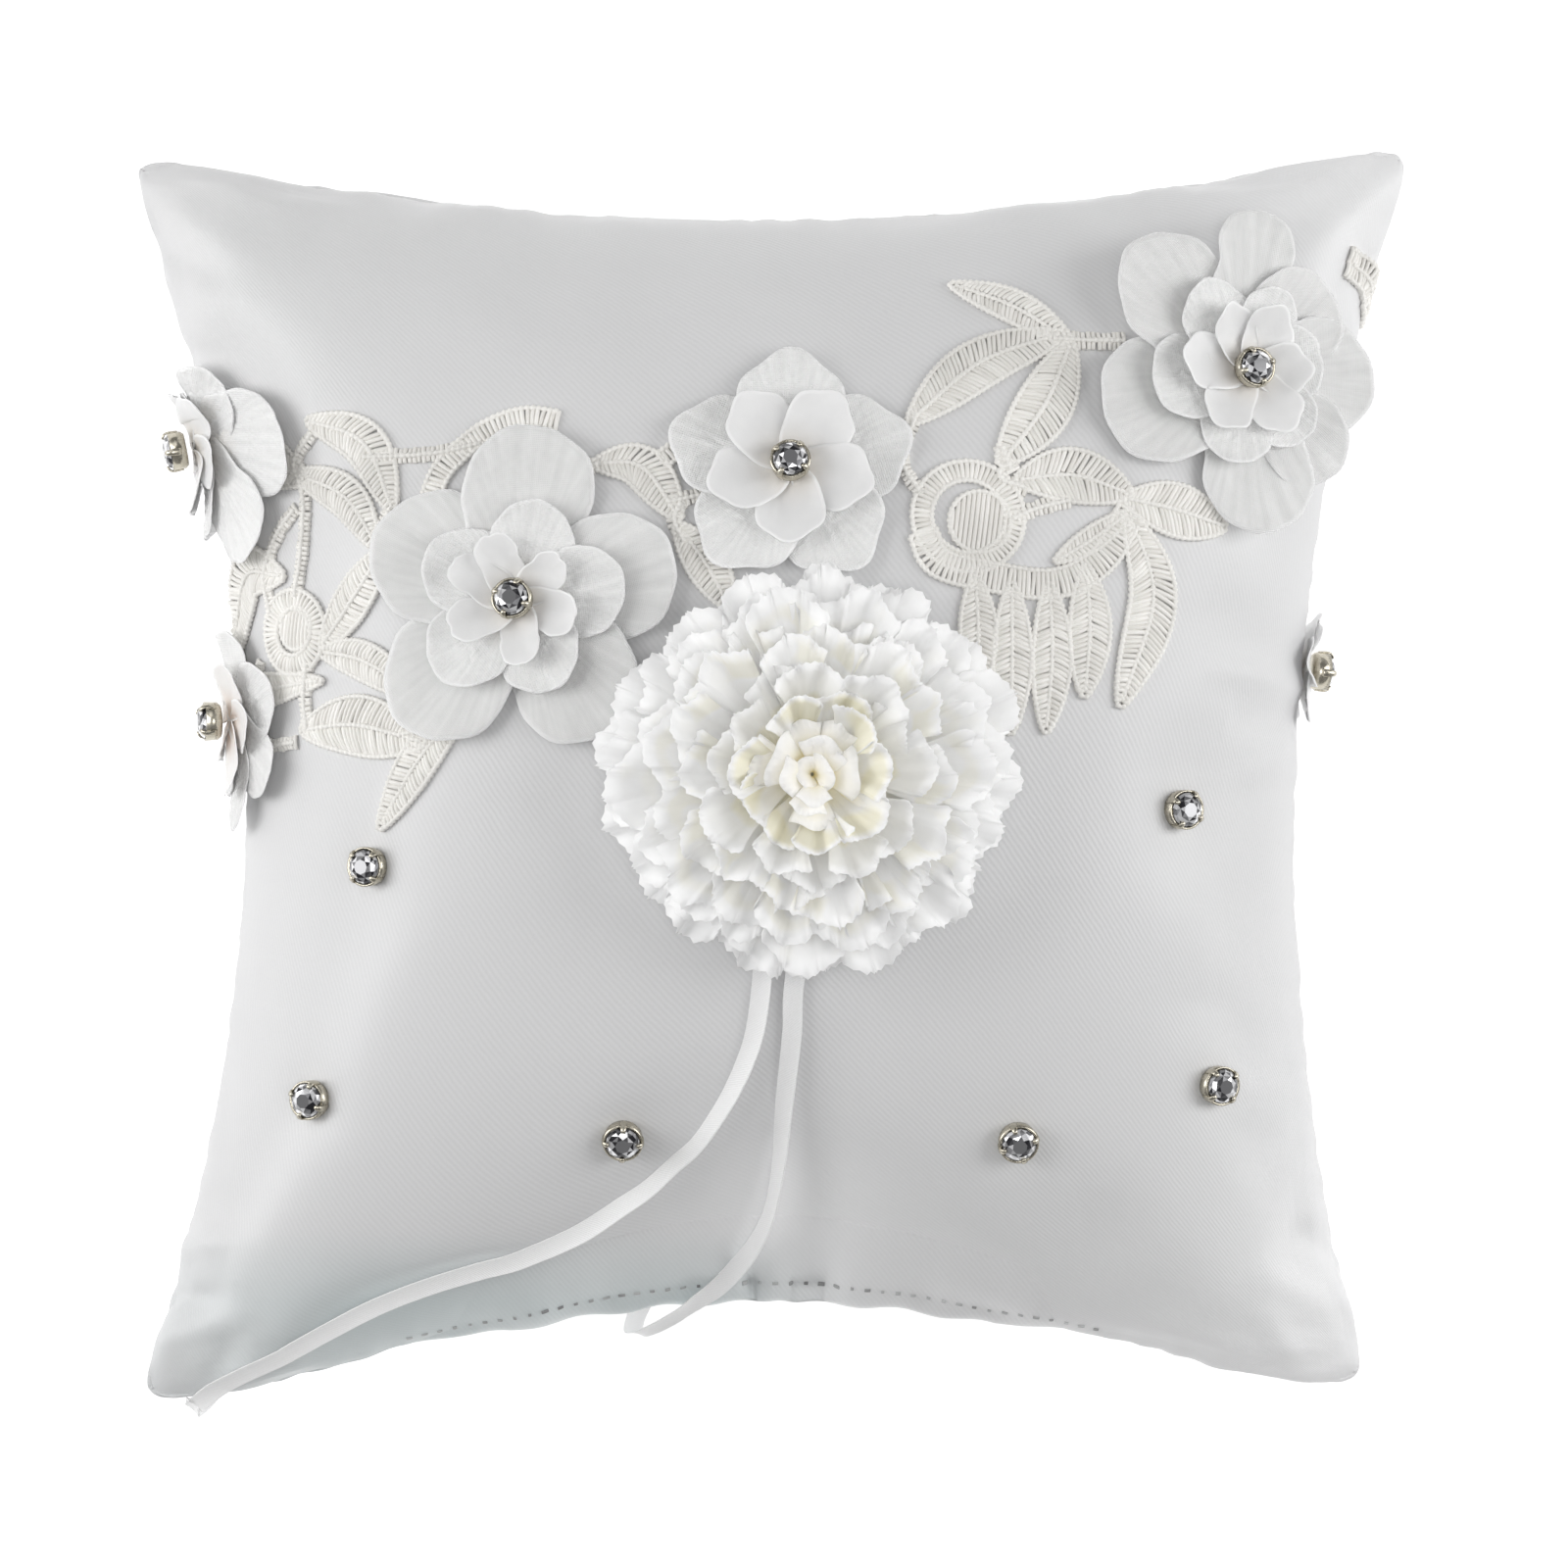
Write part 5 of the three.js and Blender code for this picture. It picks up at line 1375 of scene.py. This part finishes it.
def build_carnation_layer(number, stand, falls, tree, finish):
    share = number / (len(CARNATION_PETALS) - 1)
    radius = CARNATION_RADIUS * (1 - 0.62 * share**1.9)
    height = CARNATION_HEIGHT * (0.2 + 0.8 * share**0.75)
    foot = CARNATION_LIFT + LAYER_RISE * number
    count = CARNATION_PETALS[number]
    variants = bpy.data.collections.new(f"frills_{number}")
    bpy.context.scene.collection.children.link(variants)
    for kind in range(4):
        mesh = frill_petal(f"frill_{number}_{kind}", radius, height - LAYER_RISE * number, 1.25 * np.pi / count,
                           share**1.5, 10 * number + kind)
        variants.objects.link(bpy.data.objects.new(mesh.name, mesh))
    ring = make_object("ring", make_mesh("ring", [(0, 0, 0)], []))
    run_tree(ring, tree, petals=variants, count=count, seed=number, sway=0.13, lean=0.04 + 0.014 * number,
             size_spread=0.05 + 0.01 * number, finish=finish)
    finished(ring, thickness=SILK_WALL)
    for obj in list(variants.objects):
        bpy.data.objects.remove(obj)
    bpy.data.collections.remove(variants)
    place_on(ring.data, stand, foot, falls)
    ring.name = ring.data.name = f"frilled_carnation_layer_{number + 1}"
    return add_piece(ring, "carnation", "petal_silk", f"carnation_layer_{number + 1}")


def rosette_petal(angle, radius, foot, top, opening, seed):
    """A curled inner petal: a toothed band standing round the middle and rolling outwards at its rim."""
    random = np.random.default_rng(seed)
    rows, columns = 8, 22
    u, v = np.meshgrid(np.linspace(0, 1, rows + 1), np.linspace(-1, 1, columns + 1), indexing="ij")
    phase = random.uniform(0, TAU)
    around = angle + opening * v
    teeth = np.where(np.arange(columns + 1) % 3 == 0, 0.0, 0.25)[None, :] * np.clip((u - 0.85) / 0.15, 0, 1)
    out = radius * (0.4 + 0.6 * u**1.4) + 0.35 * u**3 * np.sin(4 * v + phase) + 1.9 * u**6
    wave = 0.5 * u**3 * np.sin(4 * v + 2 * phase)
    z = foot + (top - foot) * u**0.8 - 1.6 * v**2 * u + teeth + wave - 0.7 * u**8
    points = np.stack([out * np.cos(around), out * np.sin(around), z], axis=-1).reshape(-1, 3)
    faces = quads(np.arange(len(points)).reshape(rows + 1, columns + 1))
    return points, faces, u.ravel()


def build_carnation_centre(stand, finish):
    """The rolled petals in the middle of the carnation, ring by ring."""
    petals = []
    random = np.random.default_rng(21)
    for ring, (radius, count, top) in enumerate(ROSETTE_RINGS):
        for i in range(count):
            angle = ring * 0.7 + TAU * i / count + random.uniform(-0.45, 0.45)
            opening = random.uniform(0.55, 1.1) * np.pi / count
            rim = top + random.uniform(-2.6, 0.5)
            wide = radius * random.uniform(0.7, 1.25)
            petals.append(rosette_petal(angle, wide, ROSETTE_FOOT, rim, opening, 10 * ring + i))
    starts = np.cumsum([0] + [len(part[0]) for part in petals])
    faces = [[i + start for i in face] for start, part in zip(starts, petals) for face in part[1]]
    points = np.concatenate([part[0] for part in petals])
    mesh = make_mesh("rolled_carnation_centre", points, faces)
    set_values(mesh, "rim", np.concatenate([part[2] for part in petals]))
    set_values(mesh, "reach", np.concatenate([0.7 * part[2] ** 1.6 for part in petals]))
    set_uv(mesh, points[:, [0, 2]])
    mesh.materials.append(finish)
    centre = finished(make_object(mesh.name, mesh), thickness=SILK_WALL)
    place_on(centre.data, stand, 0)
    add_piece(centre, "carnation", "cream_silk", "carnation_centre")


def build_carnation(stand, tree, finishes):
    falls = stand.fall(CARNATION_RADIUS)
    for number in range(len(CARNATION_PETALS)):
        build_carnation_layer(number, stand, falls, tree, finishes["silk"])
    build_carnation_centre(stand, finishes["cream"])
    points, faces = lathe([(0, 1.25), (11, 1.2), (11.2, 1.55), (11, 1.9), (0, 1.95)][::-1], 48)
    backing = make_object("felt_carnation_backing", make_mesh("felt_carnation_backing", points, faces))
    place_on(backing.data, stand, 0, falls)
    backing.data.materials.append(finishes["felt"])
    add_piece(backing, "carnation", "petal_silk", "carnation_backing")


# ---------------------------------------------------------------- ribbon

RIBBON_WIDTH = 3.0
LEFT_TAIL = [
    (2.8, -2.6, 70.7), (1.6, -8, 70.6), (0.2, -16.1, 70), (-0.8, -25.1, 68.8), (-1.6, -33, 67.3), (-2.7, -39.4, 65.7),
    (-5, -45.5, 63.8), (-7.8, -50.8, 61.7), (-11.4, -56.3, 59.2), (-15.1, -60, 57.2), (-19.1, -63.7, 55.1),
    (-24.3, -67.1, 53.3), (-30, -70.6, 51.4), (-38.7, -74.7, 49.4), (-45.2, -76.5, 48.8), (-53.1, -79, 47.4),
    (-61, -82.2, 45.5), (-68.9, -86.4, 42.7), (-74.9, -89.8, 40.5), (-80.9, -92.8, 38.4), (-86.2, -95.6, 36.2),
    (-88.9, -97.7, 34.4), (-90.6, -99.3, 31.8), (-91.2, -100.1, 27.5), (-91.1, -100.3, 21), (-90.4, -99.7, 14),
    (-89.2, -98.2, 7.5), (-87.2, -95.6, 3), (-84, -92.6, 1.3), (-81.1, -91, 1.1),
]
RIGHT_TAIL = [
    (8.8, -2.6, 70.5), (7.6, -9, 70.3), (5.6, -18.1, 69.6), (4.2, -26.1, 68.5), (3.3, -33, 67.2), (3.2, -38.2, 65.9),
    (2.6, -44.3, 64), (2, -50.4, 61.7), (1.6, -56.8, 58.6), (0.8, -63.1, 54.7), (-0.4, -68.3, 50.5),
    (-2.7, -73.1, 45.5), (-5.8, -77.3, 39.4), (-8.6, -80.2, 36.7), (-11.8, -82.5, 35), (-15.4, -85, 33.9),
    (-18.6, -86.9, 31.4), (-20.8, -88, 27.5), (-21.9, -88.4, 21), (-22, -87.8, 14), (-21.4, -86.2, 7.5),
    (-19.6, -83.4, 3), (-16, -80.6, 1.3), (-9, -78.8, 1.1), (-1, -78.4, 1.1), (7, -79.2, 1.1), (14, -80.4, 1.1),
    (21, -81.4, 1.1), (28, -82, 1.1), (36, -82.6, 1.1),
]


def ribbon_mesh(name, line, facing, twist, finish):
    """A woven ribbon along a line: slightly hollow across, with a thin wall and rolled edges."""
    along = tangents(line)
    sideways = unit(np.cross(facing, along))
    outward = np.cross(along, sideways)
    turn = twist[:, None]
    wide = sideways * np.cos(turn) + outward * np.sin(turn)
    high = outward * np.cos(turn) - sideways * np.sin(turn)
    across = np.array([-1, -0.94, -0.6, -0.2, 0.2, 0.6, 0.94, 1])
    hollow = np.array([0.22, 0.2, 0.06, 0, 0, 0.06, 0.2, 0.22])
    half = RIBBON_WIDTH / 2
    points = line[:, None] + wide[:, None] * (half * across)[:, None] + high[:, None] * hollow[:, None]
    faces = quads(np.arange(len(line) * len(across)).reshape(len(line), -1))[:, ::-1]
    mesh = make_mesh(name, points.reshape(-1, 3), faces)
    uv = np.stack(np.meshgrid(lengths_along(line), half * across, indexing="ij"), -1)
    set_uv(mesh, uv.reshape(-1, 2))
    set_values(mesh, "hem_tint", np.zeros(len(mesh.vertices)))
    mesh.materials.append(finish)
    return finished(make_object(name, mesh), thickness=0.22)


def cushion_facing(line):
    """The way out of the cushion at each point of a line that lies round it."""
    return unit((line - (0, 0, SEAM_HEIGHT)) / np.array([FACE_WIDTH, FACE_HEIGHT, 2 * CROWN]) ** 2)


def build_ribbon(side, route, centre, amount, finish, cloth):
    """A tail of the ribbon; it turns on edge by the amount (radians) about that share of its length."""
    line = smooth_line(route, 380)
    share = np.linspace(0, 1, len(line))
    twist = amount * np.exp(-(((share - centre) / 0.13) ** 2))
    for i, point in enumerate(line):
        place, normal, _, _ = cloth.tree.find_nearest(tuple(point))
        height = (Vector(point) - place) @ normal
        clear = 0.7 + 0.4 * RIBBON_WIDTH * abs(math.sin(twist[i]))
        if point[2] > 6 and height < clear:
            line[i] = np.array(place + normal * clear)
    line[1:-1] = (line[:-2] + 2 * line[1:-1] + line[2:]) / 4
    ribbon = ribbon_mesh(f"satin_ribbon_{side}", line, cushion_facing(line), twist, finish)
    add_piece(ribbon, "pillow", "ribbon_satin", f"ribbon_tail_{side}")


def build_ribbon_fold(finish):
    """The middle of the ribbon, flat under the carnation, where the stitch holds it."""
    stand = Stand(*face_parameters(*CARNATION_AT))
    low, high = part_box("ribbon_fold")
    middle = (np.array(low) + np.array(high)) / 2 / MM
    line = middle + np.linspace(-4.4, 4.4, 24)[:, None] * stand.across
    fold = ribbon_mesh("satin_ribbon_fold", line, np.tile(stand.normal, (24, 1)), np.zeros(24), finish)
    add_piece(fold, "pillow", "ribbon_satin", "ribbon_fold")


# ---------------------------------------------------------------- closing hem

HEM_END = 6 / 16
HEM_ROOT = 2.6  # how deep its root lies inside the seam
HEM_SPAN = 9.0  # how far inside the seam the hem starts to leave the cloth
HEM_STEPS = [9.0, 8.0, 7.0, 6.0, 5.0, 4.0, 3.1, 2.2, 1.4, 0.9, 0.5, 0.2, 0.0]  # distances inside the seam
HEM_EDGE = 1.4  # nearer than this the hem rounds off by itself
HEM_LIP = [(0.96, -0.45), (0.6, -0.75), (0.1, -0.7)]  # its underside: share of the way out, rise
STITCH_SPACING, STITCH_INSET = 2.35, 3.2


def build_hem(cloth, finish, thread, tree):
    """The closing hem, drawn out of the cushion's cloth along its bottom edge, and its topstitching, painted dark
    grey as shade in the stitch holes.
    """
    stations = 260
    s = np.linspace(-HEM_END, HEM_END, stations)
    u = np.sin(np.pi * s / 2)
    seam = np.stack([*face_point(u, -np.ones(stations)), np.full(stations, SEAM_HEIGHT)], axis=1)
    outward = np.cross(tangents(seam), (0, 0, 1))
    ends = np.clip((1 - np.abs(s) / HEM_END) / 0.3, 0, 1) ** 1.2
    depth = ((1.3 + 5 * hem_bump(u)) * ends)[:, None]
    held = ends[:, None]
    sunk = 0.5 * (1 - held)
    x = seam[:, :1]
    gather = 0.3 * np.sin(x * TAU / 9.5 + 1.2 * np.sin(x / 7)) + 0.8 * np.exp(-(((x - 5) / 3.4) ** 2))
    wave = 0.35 * np.sin(x * TAU / 13 + 0.8) - 0.6 * np.exp(-(((x - 1.5) / 2.2) ** 2))
    buried = seam - outward * HEM_ROOT
    rings = []
    for inside in HEM_STEPS:
        ring = seam - outward * inside
        if inside >= HEM_EDGE:
            heights = np.array([cloth.under(*place)[2] for place in ring[:, :2]]) - SEAM_HEIGHT
        ring[:, 2] += heights * min(inside / HEM_EDGE, 1) ** 0.5
        pull = (1 - inside / HEM_SPAN) ** 2
        shift = pull * (depth + wave * held) - sunk
        clear = 0.06 if inside < HEM_SPAN else -0.15
        lift = pull * gather * held * min(inside, 1) + clear
        rings.append(ring + outward * shift + np.array([0, 0, 1]) * (lift - sunk))
    for out, up in HEM_LIP:
        rings.append(seam + outward * (out * (depth + wave * held) - sunk) + np.array([0, 0, up]))
    rings.append(buried - np.array([0, 0, 0.6]))
    count = len(rings)
    points = np.stack(rings, axis=1).reshape(-1, 3)
    faces = []
    for i in range(stations - 1):
        for k in range(count):
            m = (k + 1) % count
            faces.append((i * count + k, i * count + m, (i + 1) * count + m, (i + 1) * count + k))
    faces += [tuple(reversed(range(count))), tuple(range(len(points) - count, len(points)))]
    mesh = make_mesh("gathered_closing_hem", points, faces)
    set_uv(mesh, np.stack([points[:, 0], points[:, 1] + 300], axis=1))
    paint_light_on_cloth(mesh, points)
    mesh.materials.append(finish)
    hem = make_object(mesh.name, mesh)
    surfaces = (cloth.tree, BVHTree.FromPolygons(points.tolist(), faces))
    add_piece(hem, "pillow", "satin", "closing_hem")
    bottom = seam + outward * depth
    bottom = at_equal_steps(bottom, int(line_length(bottom) / STITCH_SPACING))
    places, runs, normals = [], tangents(bottom), []
    insets = STITCH_INSET - 1.5 * np.abs(np.linspace(-1, 1, len(bottom))) ** 2
    for point, inset in zip(bottom, insets):
        start = (point[0], point[1] + inset, 200)
        hits = [surface.ray_cast(start, (0, 0, -1)) for surface in surfaces]
        best = max((hit for hit in hits if hit[0] is not None), key=lambda hit: hit[0].z)
        places.append(np.array(best[0] + best[1] * 0.05))
        normals.append(np.array(best[1]))
    runs = unit(runs - np.sum(runs * np.array(normals), axis=1)[:, None] * np.array(normals))
    random = np.random.default_rng(5)
    lengths = random.uniform(0.45, 1.15, len(places)) * MM
    sizes = np.stack([lengths, random.uniform(0.6, 1.1, len(places)), np.ones(len(places))], axis=1)
    stitches = point_object("hem_topstitching", places, runs, normals, sizes)
    # the stitches' finish is painted shade: dark grey marks for the shadowed stitch holes
    run_tree(stitches, tree, width=0.00075, height=0.00035, arch=0.0001, finish=thread)
    add_piece(stitches, "pillow", "satin")


# ---------------------------------------------------------------- the whole

make_camera()
make_studio()
satin = satin_finish("white_satin", (0.735, 0.735, 0.74), 0.40, 0.85, 0.26)
ribbon_satin = satin_finish("ribbon_satin", (0.93, 0.93, 0.93), 0.36, 0.42, 0.3)
cloth = Cloth(build_cushion(satin))
build_ribbon("left", LEFT_TAIL, 0.31, 0.85, ribbon_satin, cloth)
build_ribbon("right", RIGHT_TAIL, 0.36, 1.05, ribbon_satin, cloth)
build_ribbon_fold(ribbon_satin)

finishes = {
    "organza": organza_finish("organza", 0.84, 0.28, 0.5, 0.6),
    "lace_petal": organza_finish("embossed_organza", 0.95, 0.34, 1.3, 5.0),
    "petal_satin": petal_finish(
        "petal_satin", (0.90, 0.90, 0.90, 1), (0.82, 0.82, 0.82, 1), (0.80, 0.74, 0.66, 1), 0.33),
    "peach_satin": petal_finish(
        "peach_satin", (0.90, 0.88, 0.86, 1), (0.83, 0.81, 0.79, 1), (0.80, 0.62, 0.50, 1), 0.36),
    "silk": petal_finish(
        "carnation_silk", (0.95, 0.95, 0.95, 1), (0.90, 0.90, 0.895, 1), (0.87, 0.83, 0.62, 1), 0.6, 0.035),
    "cream": petal_finish(
        "cream_silk", (0.98, 0.97, 0.95, 1), (0.94, 0.92, 0.87, 1), (0.90, 0.82, 0.52, 1), 0.5, 0.09),
    "cup": cup_finish(),
    "crystal": crystal_finish(),
    "felt": felt_finish(),
}
thread = thread_finish()
trees = {"stitch": stitch_tree(), "cord": cord_tree(), "frill": frill_tree()}

build_hem(cloth, satin, stitch_hole_shade_finish(), trees["stitch"])
build_lace(cloth, thread, trees)
for name, spec in FLOWERS.items():
    build_flower(name, Stand(*face_parameters(*spec[0])), spec, finishes)
for name, spec in SIDE_FLOWERS.items():
    build_flower(name, Stand(*spec[0]), spec, finishes, cloth)
for number, place in enumerate(LOOSE_STONES):
    stand = Stand(*face_parameters(*place))
    seat = (cloth.settle([stand.origin], 0.05)[0][0] - stand.origin) @ stand.normal
    build_rhinestone(f"rhinestone_{number + 1}", "pillow", stand, seat, 0.37 * number, finishes)
build_carnation(Stand(*face_parameters(*CARNATION_AT)), trees["frill"], finishes)
